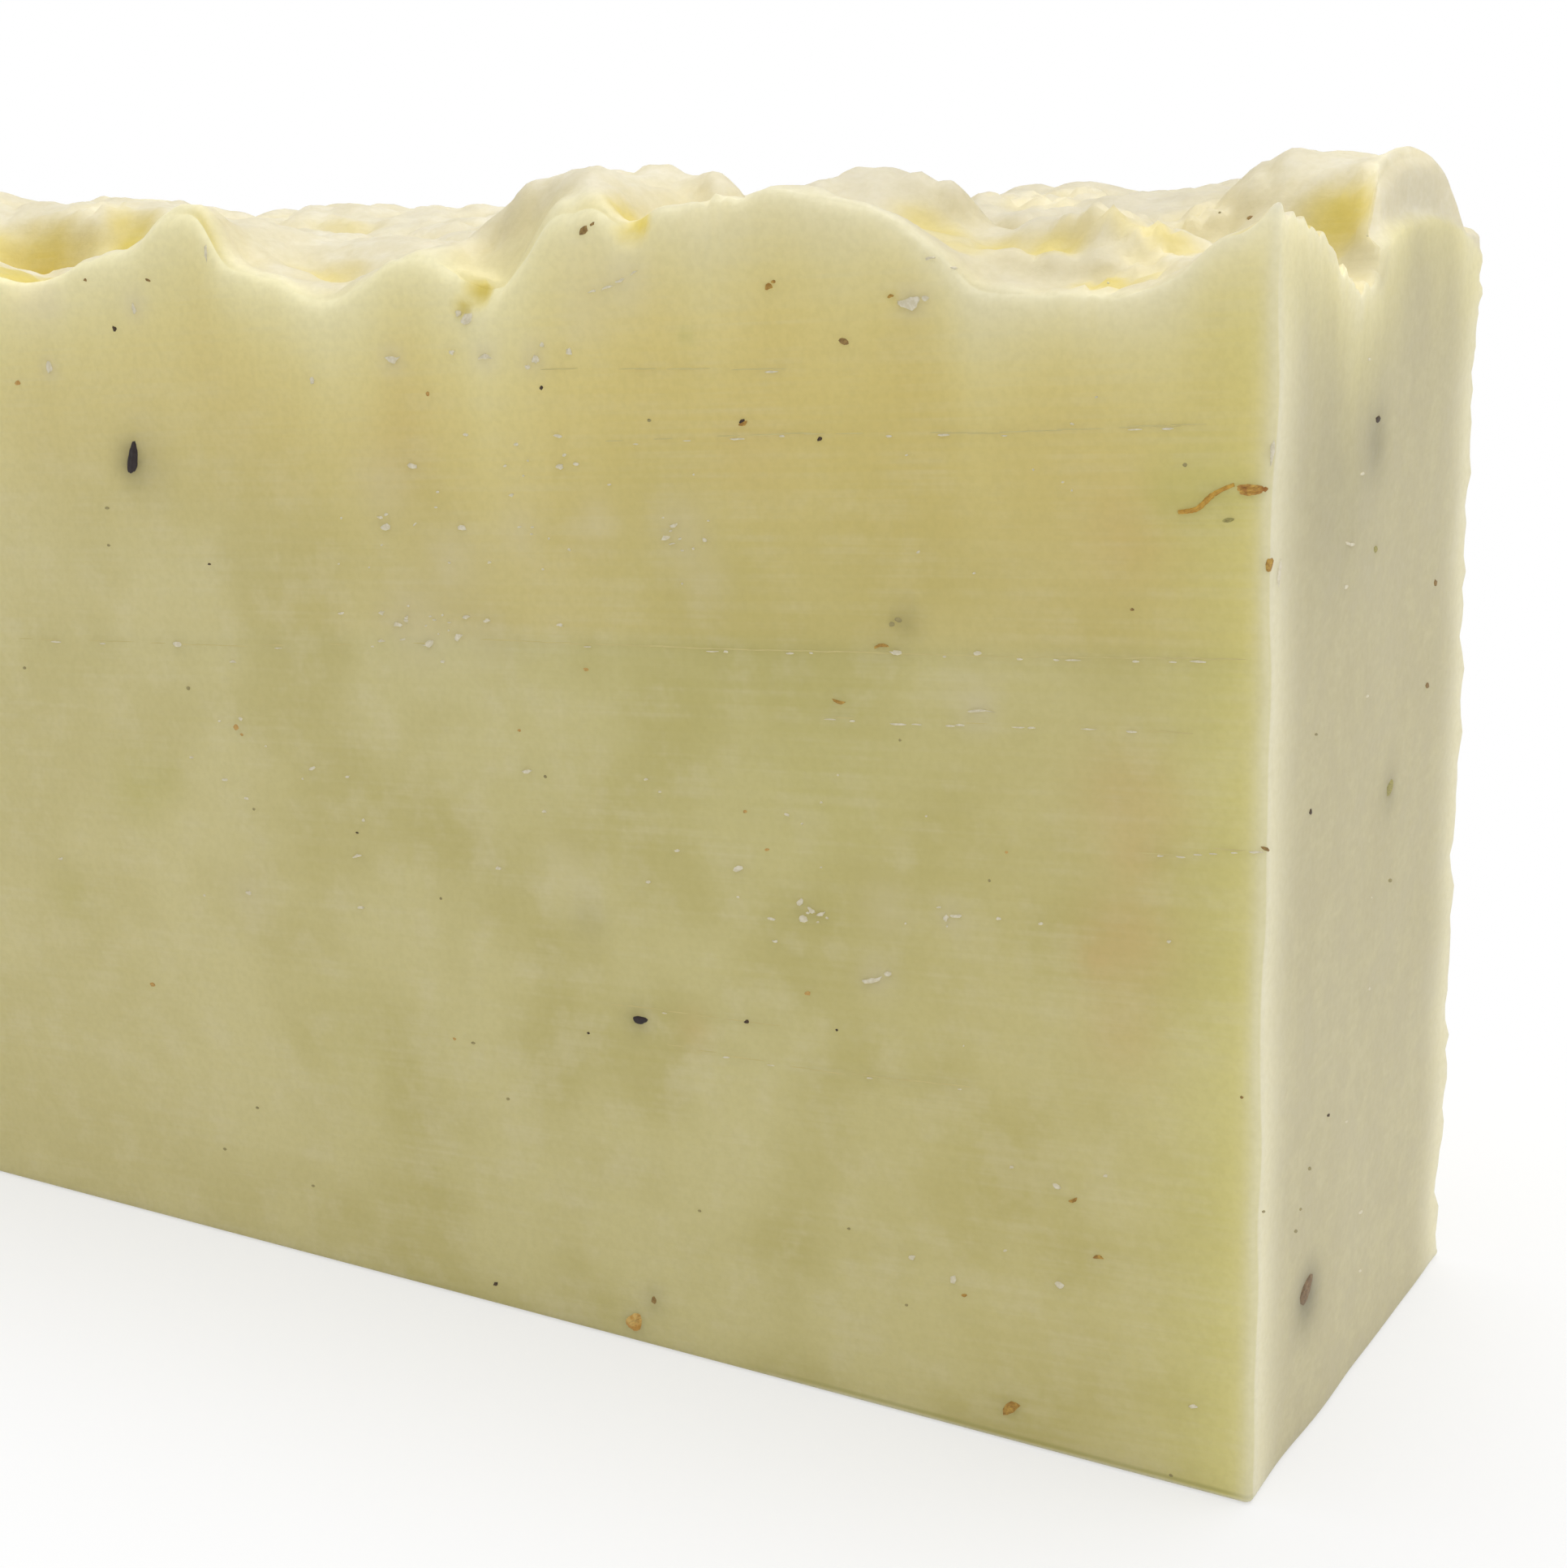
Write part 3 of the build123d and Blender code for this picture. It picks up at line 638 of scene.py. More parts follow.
def soap_material():
    wire = Wiring("cured_soap")
    place = wire.place()
    along, _, height = wire.put("ShaderNodeSeparateXYZ", {"Vector": place}).outputs
    painted = ("torn", "rim", "hollow_shade", "mould", "edge", "corner", "halo_shade", "tan", "green", "haze", "notch")
    torn, rim, hollow_shade, mould, edge, corner, halo_shade, tan, green, haze, notch = map(wire.attribute, painted)

    big_clouds = wire.clouds(place, 0.1, 2.0, 0.55)
    small_clouds = wire.clouds(place, 0.45, 3.0, 0.6)
    grain = wire.clouds(place, 2.6, 2.0, 0.6)
    drawn = wire.place(stretch=(0.05, 1.0, 2.4), turn=(0, math.atan(DRAG_SLOPE), 0))
    streaks = wire.clouds(drawn, 1.0, 2.0, 0.6)

    # The cut faces: blotches, the knife's band, a painted glow warming the upper stretch and paling the left,
    # a darker tint towards the right, and patches
    cut = wire.between(big_clouds, 0.35, 0.65, (208, 197, 131), (222, 212, 153))
    cut = wire.over(cut, (228, 218, 174), wire.ease(small_clouds, 0.45, 0.75, 0.0, 0.4))
    sloped = wire.math("SUBTRACT", height, wire.times(along, DRAG_SLOPE))
    band = wire.times(wire.ease(sloped, *BAND_EDGE, 0.0, 0.3), wire.ease(along, -15.0, 8.0, 0.2, 1.0))
    cut = wire.over(cut, (234, 207, 128), band)
    # Painted glow: the top light coming through warms the upper stretch
    cut = wire.over(cut, (238, 215, 131), wire.ease(height, *TOP_GLOW_STRETCH, 0.0, 0.75))
    # Painted glow paling the cut faces towards the left end
    cut = wire.over(cut, (236, 224, 170), wire.ease(along, -25.0, 5.0, 0.35, 0.0))
    cut = wire.over(cut, (206, 190, 110), wire.ease(along, 18.0, 34.0, 0.0, 0.22))
    cut = wire.over(cut, (226, 180, 122), wire.times(tan, 0.42))
    cut = wire.over(cut, (197, 189, 102), wire.times(green, 0.55))
    # Painted glow of light through the bar, yellower towards its ends
    cut = wire.over(cut, (236, 229, 145), wire.times(edge, 0.55))
    # The ends, smooth from the mould, then the painted glow under the rim, the pale rim, partly a painted
    # highlight, and the lip along the foot with painted shade over it
    walls = wire.between(small_clouds, 0.35, 0.7, (206, 196, 157), (213, 204, 166))
    # Paler towards the cut faces, partly the soap's own dried pallor and partly a painted glow
    walls = wire.over(walls, (250, 243, 209), wire.times(edge, 0.95))
    tone = wire.mix(mould, cut, walls)
    # Painted glow: yellower under the rim, where the top light comes through the thin soap
    tone = wire.over(tone, (255, 243, 162), wire.times(wire.math("POWER", rim, 0.5), 0.85))
    # The pale rim: partly the crust's own cream, partly a painted highlight
    rim_pallor_and_highlight = wire.between(along, 8.0, 20.0, (255, 248, 206), (243, 236, 203))
    tone = wire.mix(wire.times(rim, 0.95), tone, rim_pallor_and_highlight)
    lip = wire.times(wire.ease(along, LIP_FROM, LIP_FROM + 8), wire.math("SUBTRACT", 1.0, mould))
    # Painted shade: a darker line along the groove over the lip
    line = wire.times(wire.ease(height, *FOOT_LINE), wire.ease(height, *FOOT_LINE_END, 1.0, 0.0))
    tone = wire.over(tone, (170, 162, 84), wire.times(lip, wire.times(line, 0.5)))
    strip = wire.times(wire.ease(height, *FOOT_STRIP, 1.0, 0.0), 0.7)
    tone = wire.over(tone, (232, 227, 196), wire.times(lip, strip))
    # Painted highlight and glow along the upright corners
    tone = wire.over(tone, (236, 230, 204), wire.times(corner, 0.6))
    # The torn crust, a little darker before the high lump, with golden shade painted in its hollows and pits
    crust = wire.between(small_clouds, 0.4, 0.7, (230, 221, 192), (236, 229, 207))
    shade = wire.times(wire.ease(along, 12.0, 22.0, 0.0, 0.5), wire.ease(along, 35.0, 41.0, 1.0, 0.0))
    tone = wire.mix(torn, tone, wire.over(crust, (208, 200, 178), shade))
    tone = wire.over(tone, (223, 202, 90), wire.times(hollow_shade, 0.92))
    tone = wire.over(tone, (204, 194, 156), notch)
    # The knife's streaks, the grain, hazes and halos over all of it
    patchy = wire.ease(small_clouds, 0.35, 0.65, 0.2, 0.8)
    tone = wire.over(tone, (236, 228, 190), wire.times(wire.ease(streaks, 0.35, 0.7, 0.0, 0.2), patchy))
    tone = wire.over(tone, (180, 168, 96), wire.ease(grain, 0.3, 0.75, 0.0, 0.1))
    tone = wire.over(tone, (232, 221, 190), wire.times(haze, 0.6))
    # Painted shade round the dark bits under the surface
    tone = wire.over(tone, (92, 86, 66), wire.times(halo_shade, 0.8))

    relief = wire.math("ADD", wire.times(streaks, 0.03), wire.times(grain, 0.04))
    bump = wire.put("ShaderNodeBump", {"Height": relief, "Distance": MM, "Strength": 0.6})
    soap = wire.put("ShaderNodeBsdfPrincipled", {
        "Base Color": tone, "Roughness": wire.ease(small_clouds, 0.3, 0.7, 0.42, 0.56), "IOR": 1.46,
        "Normal": bump.outputs[0], "Subsurface Weight": 0.7, "Subsurface Scale": 2.5 * MM,
        "Subsurface Radius": (1.0, 0.9, 0.6), "Specular IOR Level": 0.35,
    })
    soap.subsurface_method = "BURLEY"
    return wire.finish(soap)


def show(mesh, name, material, replaced=()):
    """Links a mesh as a piece that rides on the bar."""
    piece = bpy.data.objects.new(name, mesh)
    bpy.context.scene.collection.objects.link(piece)
    mesh.materials.append(material)
    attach(piece, "root")
    if replaced:
        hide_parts(*replaced)
    return piece


# Small things in the soap's surface

class Spot:
    """A place on a surface with its own directions: along, across and out."""

    def __init__(self, place, out, along):
        self.place = place
        self.out = out
        self.along = (along - along.dot(out) * out).normalized()
        self.across = out.cross(self.along)

    def point(self, along, across, out):
        return self.place + along * self.along + across * self.across + out * self.out


def photo_gauge(pixel, turn, tree):
    """Spot under a pixel, turned in the picture, and the millimetres of a pixel both ways there."""
    place, out = photo_place(pixel, tree)
    steps = []
    for angle in (turn, turn + 90):
        aim = (pixel[0] + math.cos(math.radians(angle)), pixel[1] - math.sin(math.radians(angle)))
        ray = photo_ray(aim)
        there = CAMERA_PLACE + ray * ((place - CAMERA_PLACE).dot(out) / ray.dot(out))
        steps.append(there - place)
    return Spot(place, out, steps[0]), steps[0].length, steps[1].length


class Heap:
    """Many small closed shapes gathered in one mesh."""

    def __init__(self):
        self.points = []
        self.faces = []

    def shell(self, first, sides, rings, top, under):
        """Closes rings of points, from the inner one out, with a point over them and one under."""
        outer = first + (rings - 1) * sides
        for k in range(sides):
            nearby = (k + 1) % sides
            self.faces.append((top, first + k, first + nearby))
            for low in range(first, outer, sides):
                high = low + sides
                self.faces.append((low + k, high + k, high + nearby, low + nearby))
            self.faces.append((under, outer + nearby, outer + k))

    def chip(self, spot, length, width, height, rng, ragged=0.25, sides=9, bend=0.0):
        """Low irregular chip that lies in the surface, its rim just under it."""
        first = len(self.points)
        swing = [1 + ragged * rng.uniform(-1, 1) for _ in range(sides)]
        start = rng.uniform(0, 2 * math.pi)
        levels = [(share, height * (1 - share**2) + height * 0.3 * rng.uniform(0, 1)) for share in CHIP_RINGS]
        levels.append((1.0, -SINK))
        for share, level in levels:
            for k in range(sides):
                angle = start + 2 * math.pi * k / sides
                reach = share * (1 + (swing[k] - 1) * share)
                along, across = math.cos(angle) * reach * length / 2, math.sin(angle) * reach * width / 2
                across += bend * (4 * along * along / length / length - 0.3) * length
                rough = ragged * height * 0.3 * rng.uniform(-1, 1)
                self.points.append(spot.point(along, across, level + rough))
        middle = -0.3 * bend * length
        self.points.append(spot.point(0, middle, height * (1 + ragged * rng.uniform(-0.5, 0.5))))
        self.points.append(spot.point(0, middle, -3 * SINK - height))
        self.shell(first, sides, len(levels), len(self.points) - 2, len(self.points) - 1)

    def photo_chips(self, table, tree, rng, height, ragged=0.25, sides=9, bend=0.0):
        """Chips at places of the photograph: pixel, length and width in pixels, turn in the picture.
        A chip that misses the bar is left out."""
        for across, down, length, width, turn in table:
            if photo_place((across, down), tree)[0] is None:
                continue
            spot, wide, high = photo_gauge((across, down), turn, tree)
            sway = bend * rng.choice((-1, 1))
            self.chip(spot, length * wide, width * high, height, rng, ragged, sides, sway)

    def mesh(self, name):
        mesh = bpy.data.meshes.new(name)
        mesh.from_pydata([point * MM for point in self.points], [], self.faces)
        mesh.shade_smooth()
        mesh.update()
        return mesh


# How deep a chip's rim lies under the surface, and where its inner rings of points lie
SINK = 0.035
CHIP_RINGS = (0.5, 0.82)

# Dark and brown seed crumbs and faint ones, by the photograph's pixels: across, down, length,
# width, and turn in degrees
DARK_FLECKS = (
    (920, 1259, 7, 5, 20), (1031, 1269, 4, 4, 0), (1010, 541, 7, 6, 30), (914, 519, 8, 6, 30),
    (141, 405, 8, 6, -40), (258, 695, 4, 4, 0), (440, 1026, 4, 3, 0), (611, 1582, 7, 5, 30),
    (1698, 516, 8, 6, 20), (1615, 1000, 4, 6, 10), (1637, 1374, 4, 4, 0), (667, 478, 6, 5, 60),
    (725, 1273, 4, 3, 0),
)
BROWN_FLECKS = (
    (1040, 421, 15, 8, -25), (719, 284, 15, 9, 40), (730, 276, 7, 4, 30), (806, 1602, 9, 7, 70),
    (1559, 1046, 11, 5, -30), (1769, 718, 9, 5, 80), (1759, 845, 5, 9, 0), (1540, 268, 8, 4, 10),
    (1395, 751, 5, 4, 0), (182, 345, 8, 4, -20), (105, 345, 5, 5, 0), (1530, 1352, 5, 4, 0),
)
FAINT_FLECKS = (
    (1099, 769, 9, 7, 20), (1107, 764, 10, 7, -10), (800, 518, 6, 5, 0), (132, 626, 6, 5, 0),
    (134, 672, 5, 4, 0), (313, 997, 4, 4, 0), (672, 957, 5, 5, 0), (317, 1365, 5, 4, 0),
    (277, 1416, 5, 4, 0), (386, 1461, 5, 4, 0), (583, 1285, 6, 4, 0), (626, 1354, 5, 4, 0),
    (1046, 1514, 5, 4, 0), (1117, 1608, 5, 4, 0), (1443, 1818, 5, 4, 0), (1460, 573, 7, 6, 0),
    (1713, 1085, 6, 5, 0), (1622, 905, 5, 4, 0), (1597, 1517, 5, 5, 0), (1603, 1490, 4, 4, 0),
    (1614, 1440, 5, 5, 0), (1557, 1493, 5, 4, 0), (1503, 262, 4, 3, 0), (30, 823, 5, 4, 0),
    (232, 848, 6, 6, 0), (543, 1107, 4, 4, 0), (1109, 912, 4, 4, 0), (862, 1492, 5, 4, 0),
    (1219, 1085, 4, 4, 0),
)
# Amber husk slivers, orange petal crumbs and olive leaf crumbs, as above
AMBER_FLECKS = (
    (1085, 796, 20, 5, 10), (1034, 865, 18, 5, -12), (1322, 1479, 14, 5, 20), (1353, 1549, 14, 5, -5),
    (1246, 1734, 26, 15, 25), (1188, 1596, 8, 5, 0), (1565, 695, 20, 8, 75), (915, 522, 13, 6, 15),
    (1097, 365, 9, 5, 20), (947, 353, 11, 8, 20), (953, 347, 6, 5, 0),
)
ORANGE_FLECKS = (
    (22, 472, 9, 7, 0), (291, 896, 8, 9, 30), (722, 825, 7, 6, 0), (918, 1000, 6, 5, 0),
    (945, 1047, 7, 4, 20), (995, 1224, 9, 6, 0), (527, 485, 6, 7, 0), (188, 1213, 8, 6, 0),
    (560, 1280, 5, 4, 0), (298, 905, 5, 4, 0), (1240, 1050, 5, 4, 0), (640, 900, 5, 4, 0),
)
OLIVE_FLECKS = (
    (1514, 641, 16, 6, 10), (1695, 677, 6, 9, 0), (1713, 971, 15, 8, 45),
)
# Pale burrs that the knife raised, and torn flakes, as above; the two tall ones at about 1570 across, on the
# near upright corner, are a painted highlight
BURRS_AND_EDGE_HIGHLIGHTS = (
    (490, 770, 13, 6, 0), (575, 760, 11, 5, 10), (287, 815, 8, 4, 0), (236, 933, 6, 4, 0),
    (428, 957, 6, 4, 0), (670, 1000, 6, 4, 0), (440, 1055, 12, 5, 20), (615, 1070, 8, 5, 0),
    (75, 1058, 6, 4, 0), (307, 1100, 7, 5, 0), (445, 1118, 8, 4, 0), (1075, 1208, 26, 8, 8),
    (1094, 1200, 14, 6, -10), (1166, 1131, 9, 6, 60), (1178, 1129, 13, 5, 0), (1000, 1122, 12, 5, -30),
    (1012, 1126, 12, 5, 20), (955, 1160, 7, 4, 0), (1230, 1132, 7, 4, 0), (1282, 1138, 7, 4, 0),
    (1440, 1160, 6, 4, 0), (1205, 876, 36, 4, 2), (1105, 804, 18, 6, 0), (690, 575, 10, 8, 0),
    (710, 572, 7, 5, 0), (1470, 1733, 10, 5, 0), (470, 755, 8, 6, 0), (470, 790, 10, 4, 0),
    (600, 765, 8, 5, 0), (690, 770, 9, 4, 0), (660, 443, 9, 12, 0), (650, 452, 7, 6, 0), (668, 425, 8, 6, 0),
    (701, 434, 7, 10, 10), (597, 440, 18, 7, 0), (557, 434, 8, 6, 0), (484, 443, 20, 9, 10),
    (385, 469, 6, 8, 0), (165, 380, 5, 14, 4), (60, 452, 8, 16, 0), (254, 312, 4, 22, 0),
    (730, 359, 12, 4, 12), (748, 354, 14, 4, 18), (764, 346, 12, 4, 26), (781, 336, 10, 3, 36),
    (576, 392, 22, 12, 30), (565, 386, 9, 8, 0), (1120, 374, 34, 16, 8), (1140, 368, 9, 7, -20),
    (1568, 556, 5, 34, 0), (1576, 705, 4, 34, 0), (1145, 318, 12, 4, 10), (1175, 330, 10, 4, 0),
)
# Clusters of small burrs: middle pixel, spread across and down, how many
BURR_CLUSTERS = (
    ((525, 770), 75, 26, 16), ((845, 670), 45, 50, 12), ((650, 640), 140, 90, 14),
    ((1080, 1130), 130, 26, 8), ((640, 560), 60, 40, 7), ((480, 650), 60, 60, 8),
    ((900, 1050), 260, 120, 14), ((300, 1000), 200, 160, 10), ((1250, 600), 200, 160, 10),
    ((1250, 1450), 220, 200, 8), ((1680, 700), 50, 260, 6), ((1660, 1300), 50, 260, 6),
)
# Broken lines of burrs along the clearest knife drags: places along and up the cut face, how
# much of the line shows as a pale burr, and as a clear groove
DRAG_LINES = (
    (((11.7, 47.4), (21.6, 48.4), (33.3, 49.2), (43.8, 50.3)), 0.15, 0.5),
    (((4.5, 37.1), (15.5, 37.85), (33.2, 39.25), (44.1, 40.3)), 0.3, 0.95),
    (((23.7, 35.4), (28.7, 35.75), (37.4, 36.55), (42.2, 36.8)), 0.45, 0.3),
    (((10.3, 18.9), (20.7, 19.5)), 0.1, 0.6),
    (((13.6, 17.3), (22.5, 17.55), (31.0, 18.3)), 0.1, 0.6),
    (((9.3, 50.7), (27.0, 51.6)), 0.15, 0.4),
    (((40.0, 31.1), (45.0, 32.1)), 0.6, 0.2),
    (((-28.0, 33.9), (-12.0, 35.1), (4.0, 36.9)), 0.12, 0.35),
)


def face_spot(along, up, tree):
    """Spot on the shown cut face from places along and up it, lying along the knife's way."""
    place, out, _, _ = tree.ray_cast(Vector((along, -3 * SIDE_Y, up)), Vector((0, 1, 0)))
    return Spot(place, out, Vector((1, 0, DRAG_SLOPE)))


def drag_route(route, step):
    """Places along a drag line, a step apart."""
    for (x0, z0), (x1, z1) in zip(route, route[1:]):
        count = max(1, round((x1 - x0) / step))
        for k in range(count):
            share = k / count
            yield x0 + (x1 - x0) * share, z0 + (z1 - z0) * share


def scatter(heap, tree, rng, count, sizes, height, ragged):
    """Small chips scattered over the sides that the photograph doesn't show."""
    for _ in range(count):
        side = rng.choice(("back", "back", "back", "left"))
        x, y = rng.uniform(-SIDE_X + 2, SIDE_X - 2), rng.uniform(-SIDE_Y + 2, SIDE_Y - 2)
        z = rng.uniform(2, 50)
        starts = {
            "back": (Vector((x, 3 * SIDE_Y, z)), Vector((0, -1, 0))),
            "left": (Vector((-2 * SIDE_X, y, z)), Vector((1, 0, 0))),
        }
        place, out, _, _ = tree.ray_cast(*starts[side])
        turn = rng.uniform(0, 2 * math.pi)
        spot = Spot(place, out, Vector((math.cos(turn), 0.3, math.sin(turn))))
        length = rng.uniform(*sizes)
        heap.chip(spot, length, length * rng.uniform(0.5, 0.9), height, rng, ragged)


# The crumbs of plants: shown is the height, raggedness and bend of those that the photograph
# shows, and hidden is how many lie on the other sides, their lengths, height and raggedness
Crumb = namedtuple("Crumb", "name table shown hidden dark light slot_name")
CRUMBS = (
    Crumb("dark_crumbs", DARK_FLECKS, (0.03, 0.3, 0.0), (14, (0.15, 0.4), 0.03, 0.3),
          (52, 36, 22), (92, 70, 40), "dark_seed"),
    Crumb("brown_crumbs", BROWN_FLECKS, (0.03, 0.3, 0.0), (12, (0.2, 0.6), 0.03, 0.3),
          (136, 104, 50), (170, 138, 78), "dark_seed"),
    Crumb("faint_crumbs", FAINT_FLECKS, (0.012, 0.2, 0.0), (26, (0.15, 0.3), 0.012, 0.2),
          (150, 137, 88), (176, 163, 110), "stem"),
    Crumb("amber_slivers", AMBER_FLECKS, (0.035, 0.25, 0.12), (10, (0.3, 0.9), 0.03, 0.3),
          (166, 120, 42), (206, 166, 78), "husk"),
    Crumb("orange_crumbs", ORANGE_FLECKS, (0.015, 0.3, 0.0), (10, (0.15, 0.35), 0.015, 0.3),
          (200, 152, 74), (214, 174, 100), "petal"),
    Crumb("olive_crumbs", OLIVE_FLECKS, (0.02, 0.3, 0.0), (8, (0.3, 0.7), 0.02, 0.3),
          (158, 148, 82), (184, 174, 104), "stem"),
)
DRAG_STEP = 0.9


def make_flecks(tree):
    """Everything finer than a seed: crumbs of plants, burrs, flakes and the knife's drags."""
    rng = random.Random(41)
    heaps = [Heap() for _ in CRUMBS]
    burrs, grooves = Heap(), Heap()
    for heap, crumb in zip(heaps, CRUMBS):
        height, ragged, bend = crumb.shown
        heap.photo_chips(crumb.table, tree, rng, height, ragged, bend=bend)
    burrs.photo_chips(BURRS_AND_EDGE_HIGHLIGHTS, tree, rng, 0.07, 0.4, sides=11, bend=0.06)
    for (across, down), wide, high, count in BURR_CLUSTERS:
        for _ in range(count):
            pixel = (rng.gauss(across, wide / 2), rng.gauss(down, high / 2))
            length = rng.choice((3, 4, 4, 5, 6, 8, 12))
            burr = (*pixel, length, max(3, length * rng.uniform(0.35, 0.8)), rng.gauss(4, 14))
            burrs.photo_chips((burr,), tree, rng, 0.05, 0.4, sides=7)
    for route, pale, clear in DRAG_LINES:
        for x, z in drag_route(route, DRAG_STEP):
            if rng.random() < pale:
                spot = face_spot(x + rng.uniform(0, 0.5), z - 0.12 + rng.gauss(0, 0.02), tree)
                burrs.chip(spot, rng.uniform(0.2, 0.9), rng.uniform(0.07, 0.13), 0.035, rng, 0.3, 8)
            if rng.random() < clear:
                spot = face_spot(x, z + rng.gauss(0, 0.015), tree)
                grooves.chip(spot, rng.uniform(1.0, 2.2), 0.07, 0.003, rng, 0.15, 10)
    for heap, crumb in zip(heaps, CRUMBS):
        scatter(heap, tree, rng, *crumb.hidden)
    scatter(burrs, tree, rng, 60, (0.15, 0.8), 0.05, 0.4)
    for heap, crumb in zip(heaps, CRUMBS):
        matter = plant_material(crumb.name + "_matter", crumb.dark, crumb.light)
        show(heap.mesh(crumb.name), crumb.name, matter)
    show(burrs.mesh("soap_burrs_and_highlights"), "soap_burrs_and_highlights", burr_material())
    show(grooves.mesh("knife_drags"), "knife_drags", groove_material())


def plant_material(name, dark, light, scale=3.0):
    """Dried plant matter: fibrous, blotched and dull."""
    wire = Wiring(name)
    blotches = wire.clouds(wire.place(), scale, 3.0, 0.65, 0.6)
    fibres = wire.clouds(wire.place(stretch=(1, 1, 5), turn=(0.3, 0.5, 0.2)), 4.0, 2.0, 0.6)
    tone = wire.between(blotches, 0.35, 0.65, dark, light)
    tone = wire.over(tone, [c * 0.7 for c in dark], wire.ease(fibres, 0.5, 0.7, 0.0, 0.5))
    return wire.dull(tone, wire.ease(blotches, 0.3, 0.7, 0.5, 0.7), fibres, 0.03)


def burr_material():
    """Soap torn thin, whiter than the body; on the near upright corner, a painted highlight."""
    wire = Wiring("torn_soap_burr_and_highlight")
    grain = wire.clouds(wire.place(), 5.0, 2.0, 0.6)
    tone = wire.between(grain, 0.35, 0.7, (222, 212, 180), (238, 230, 206))
    return wire.dull(tone, wire.ease(grain, 0.3, 0.7, 0.4, 0.55), grain, 0.04)


def groove_material():
    """The knife's drags, a little clearer and greener than the cut face."""
    wire = Wiring("knife_drag")
    grain = wire.clouds(wire.place(), 0.8, 2.0, 0.6)
    tone = wire.between(grain, 0.35, 0.7, (212, 198, 132), (221, 207, 142))
    return wire.dull(tone, wire.ease(grain, 0.3, 0.7, 0.45, 0.6))


# The seeds, husk, petal and stem that are pieces of their own. Length, width, rise and shift
# along the bar are in millimetres, and turn is in degrees from level.
Bit = namedtuple("Bit", "node colours scale slot_name length width turn rise furrows face shift")
SEED = ("seed_coat", (30, 18, 18), (52, 38, 36))
HUSK = ("husk_striped", (168, 110, 42), (222, 180, 86))
PETAL = ("petal_dry", (204, 150, 62), (232, 196, 116))
BROWN = ("seed_brown", (112, 88, 58), (156, 130, 96))
BITS = (
    Bit("seed_husk", HUSK, 1.8, "husk", 1.4, 0.55, 4, 0.07, 0.6, "cut", 0.1),
    Bit("left_seed", SEED, 1.6, "dark_seed", 2.1, 0.8, 74, 0.06, 0.2, "cut", 0.0),
    Bit("middle_seed", SEED, 1.6, "dark_seed", 1.05, 0.5, 8, 0.05, 0.0, "cut", 0.0),
    Bit("petal_crumb", PETAL, 1.2, "petal", 1.3, 1.0, 50, 0.08, 0.25, "cut", 0.0),
    Bit("end_seed", BROWN, 1.4, "dark_seed", 2.1, 1.15, 25, 0.08, 0.15, "end", 0.0),
)
BIT_SIDES, BIT_RINGS = 36, 9


def bit_spot(bit, tree):
    """Spot over the middle of a packed seed, lying as it is turned."""
    low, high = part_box(bit.node)
    middle = (low + high) / 2 / MM + Vector((bit.shift, 0, 0))
    level, rise = math.cos(math.radians(bit.turn)), math.sin(math.radians(bit.turn))
    if bit.face == "cut":
        start, aim = Vector((middle.x, -3 * SIDE_Y, middle.z)), Vector((0, 1, 0))
        lie = Vector((level, 0, rise))
    else:
        start, aim = Vector((2 * SIDE_X, middle.y, middle.z)), Vector((-1, 0, 0))
        lie = Vector((0, level, rise))
    place, out, _, _ = tree.ray_cast(start, aim)
    return Spot(place, out, lie)


def make_bit(bit, material, tree):
    """Rounded, wrinkled body that stands for a packed seed, with its cut outline."""
    rng = random.Random(bit.node)
    spot = bit_spot(bit, tree)
    turns = [2 * math.pi * k / BIT_SIDES for k in range(BIT_SIDES)]
    swing = [1 + 0.09 * math.sin(3 * turn + 1) + 0.04 * rng.uniform(-1, 1) for turn in turns]
    heap = Heap()
    heap.points.append(spot.point(0, 0, bit.rise))
    for ring in range(1, BIT_RINGS + 1):
        share = ring / BIT_RINGS
        for turn, reach in zip(turns, swing):
            along = math.cos(turn) * share * reach * bit.length / 2
            across = math.sin(turn) * share * reach * bit.width / 2
            wrinkle = noise.noise(Vector((along * 4, across * 4, len(bit.node)))) * 0.5
            furrow = bit.furrows * math.cos(across / bit.width * 2 * math.pi * 3.5) * (1 - share**2)
            level = bit.rise * ((1 - share**2.5) * (1 + wrinkle) + furrow) - SINK * share**4
            heap.points.append(spot.point(along, across, level))
    heap.points.append(spot.point(0, 0, -bit.width * 0.4))
    heap.shell(1, BIT_SIDES, BIT_RINGS, 0, len(heap.points) - 1)
    name = bit.node + "_dressed"
    show(heap.mesh(name), name, material, (bit.node,))


STEM_ROUTE = ((1452, 631), (1464, 630), (1475, 628), (1484, 620), (1492, 611), (1506, 603), (1521, 597))
STEM_RADIUS = 0.12
STEM_SIDES = 10


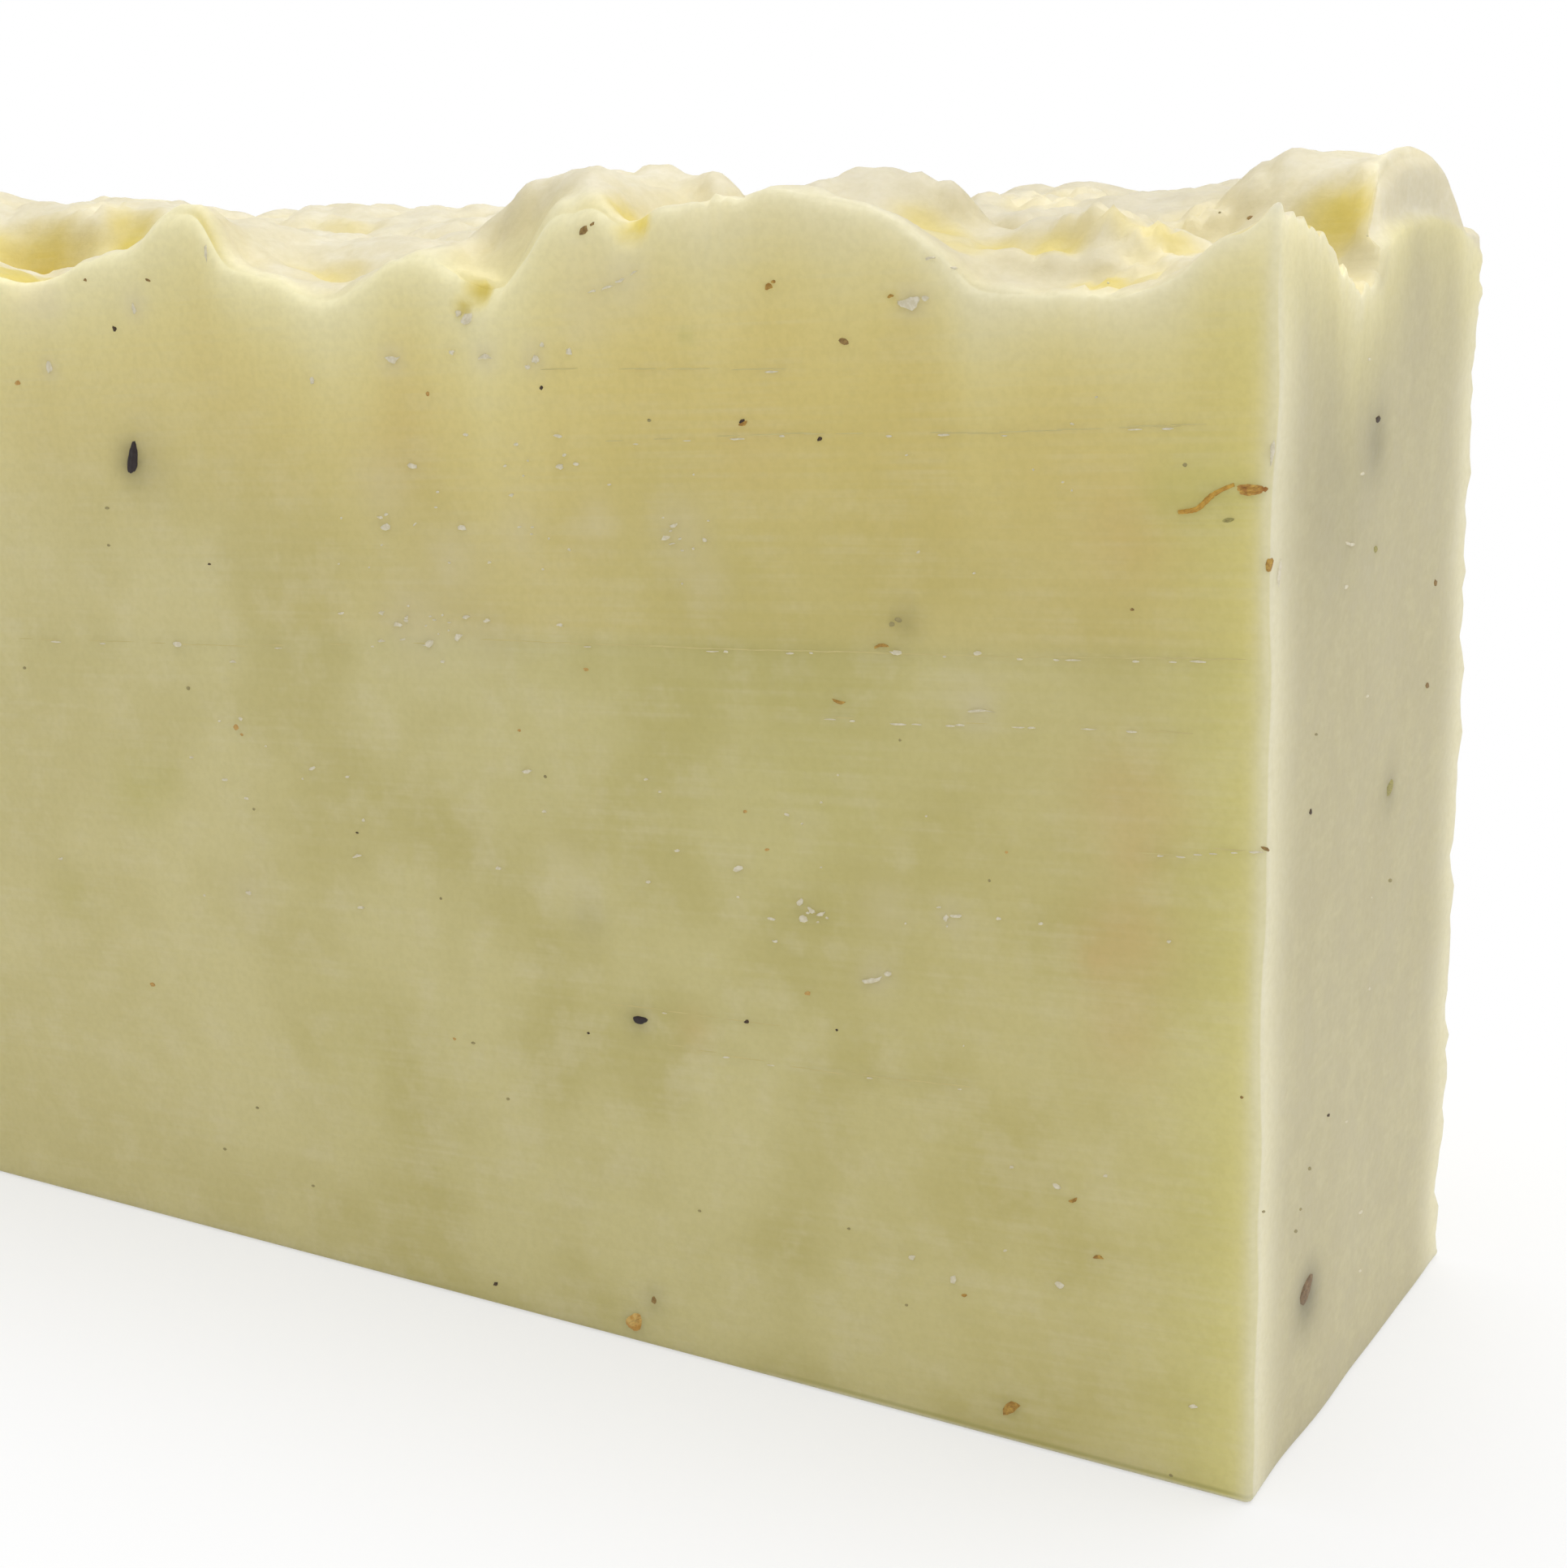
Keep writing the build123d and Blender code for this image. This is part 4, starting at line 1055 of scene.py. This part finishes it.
def make_stem(tree):
    """Curved, tapering fibre that lies in the cut face."""
    rng = random.Random(7)
    places = [photo_place(pixel, tree) for pixel in STEM_ROUTE]
    fine = []
    for (start, out), (end, _) in zip(places, places[1:]):
        fine += [(start.lerp(end, k / 5), out) for k in range(5)]
    fine.append(places[-1])
    centres = [point for point, _ in fine]
    for _ in range(6):
        between = [(a + 2 * b + c) / 4 for a, b, c in zip(centres, centres[1:], centres[2:])]
        centres = [centres[0], *between, centres[-1]]
    heap = Heap()
    last = len(centres) - 1
    for k, (centre, (_, out)) in enumerate(zip(centres, fine)):
        spot = Spot(centre, out, centres[min(k + 1, last)] - centres[max(k - 1, 0)])
        swell = math.sin(math.pi * min(1, k / last * 0.8 + 0.15))
        radius = STEM_RADIUS * (0.55 + 0.45 * swell) * rng.uniform(0.85, 1.1)
        for side in range(STEM_SIDES):
            angle = 2 * math.pi * side / STEM_SIDES
            heap.points.append(spot.point(0, math.cos(angle) * radius, math.sin(angle) * radius * 0.55))
    for low in range(0, last * STEM_SIDES, STEM_SIDES):
        high = low + STEM_SIDES
        for side in range(STEM_SIDES):
            nearby = (side + 1) % STEM_SIDES
            heap.faces.append((low + side, low + nearby, high + nearby, high + side))
    heap.faces.append(tuple(reversed(range(STEM_SIDES))))
    heap.faces.append(tuple(last * STEM_SIDES + side for side in range(STEM_SIDES)))
    material = plant_material("stem_fibre_brown", (190, 140, 46), (216, 170, 70), 2.0)
    show(heap.mesh("stem_fibre_dressed"), "stem_fibre_dressed", material, ("stem_fibre",))


def make_bits(tree):
    materials = {}
    for bit in BITS:
        if bit.colours not in materials:
            materials[bit.colours] = plant_material(*bit.colours, bit.scale)
        make_bit(bit, materials[bit.colours], tree)
    make_stem(tree)


# Studio

FLOOR_SIZE = 12.0
# How much of the floor near the bar is shown as plain white, so that its shadow stays faint
NEAR_FLOOR_WHITE = 0.58
SHADOW_REACH = 40.0
WORLD_STRENGTH = 0.5
WHITE = (1, 1, 1, 1)
# The lamps: name, place in metres, size and power
LAMPS = (
    ("studio_top", (0.03, 0.1, 0.62), 0.7, 2.9),
    ("studio_side", (0.6, 0.1, 0.35), 0.4, 0.35),
)


def floor_material():
    """Pale floor, shown whiter the farther it lies from the bar's footprint."""
    wire = Wiring("studio_floor")
    place = wire.place()
    tint = wire.mix(wire.clouds(place, 0.004), linear(248, 248, 248), linear(250, 250, 250))
    pale = wire.put("ShaderNodeBsdfDiffuse", {"Color": tint})
    white = wire.put("ShaderNodeEmission", {"Color": WHITE, "Strength": 1.0})
    path = wire.put("ShaderNodeLightPath").outputs
    seen = wire.math("MAXIMUM", path["Is Camera Ray"], path["Is Glossy Ray"])
    seen = wire.math("MAXIMUM", seen, path["Is Transmission Ray"])
    outside = wire.vector("SUBTRACT", wire.vector("ABSOLUTE", place)[0], (SIDE_X, SIDE_Y, 0))[0]
    gap = wire.vector("LENGTH", wire.vector("MAXIMUM", outside)[0])["Value"]
    share = wire.times(seen, wire.ease(gap, 0.0, SHADOW_REACH, NEAR_FLOOR_WHITE, 1.0))
    return wire.finish(wire.blend(share, pale, white))


def make_studio():
    mesh = bpy.data.meshes.new("studio_floor")
    half = FLOOR_SIZE / 2
    corners = [(-half, -half, 0), (half, -half, 0), (half, half, 0), (-half, half, 0)]
    mesh.from_pydata(corners, [], [(0, 1, 2, 3)])
    mesh.materials.append(floor_material())
    floor = bpy.data.objects.new("studio_floor", mesh)
    bpy.context.scene.collection.objects.link(floor)

    wire = Wiring("studio_world", bpy.data.worlds)
    dim = wire.put("ShaderNodeBackground", {"Color": WHITE, "Strength": WORLD_STRENGTH})
    bright = wire.put("ShaderNodeBackground", {"Color": WHITE, "Strength": 1.0})
    camera_ray = wire.put("ShaderNodeLightPath").outputs["Is Camera Ray"]
    both = wire.blend(camera_ray, dim, bright)
    bpy.context.scene.world = wire.finish(both, "ShaderNodeOutputWorld")

    for name, place, size, power in LAMPS:
        data = bpy.data.lights.new(name, "AREA")
        data.size = size
        data.energy = power
        lamp = bpy.data.objects.new(name, data)
        aim = Vector((0, 0, 0.03)) - Vector(place)
        lamp.matrix_world = Matrix.Translation(place) @ aim.to_track_quat("-Z", "Y").to_matrix().to_4x4()
        bpy.context.scene.collection.objects.link(lamp)


make_camera()
make_studio()
soap_skin = show(soap_mesh(), "soap_bar_skin", soap_material(), ("soap_bar",))
skin_tree = solid_tree(soap_skin.data)
make_flecks(skin_tree)
make_bits(skin_tree)

scene = bpy.context.scene
scene.view_settings.view_transform = "Standard"
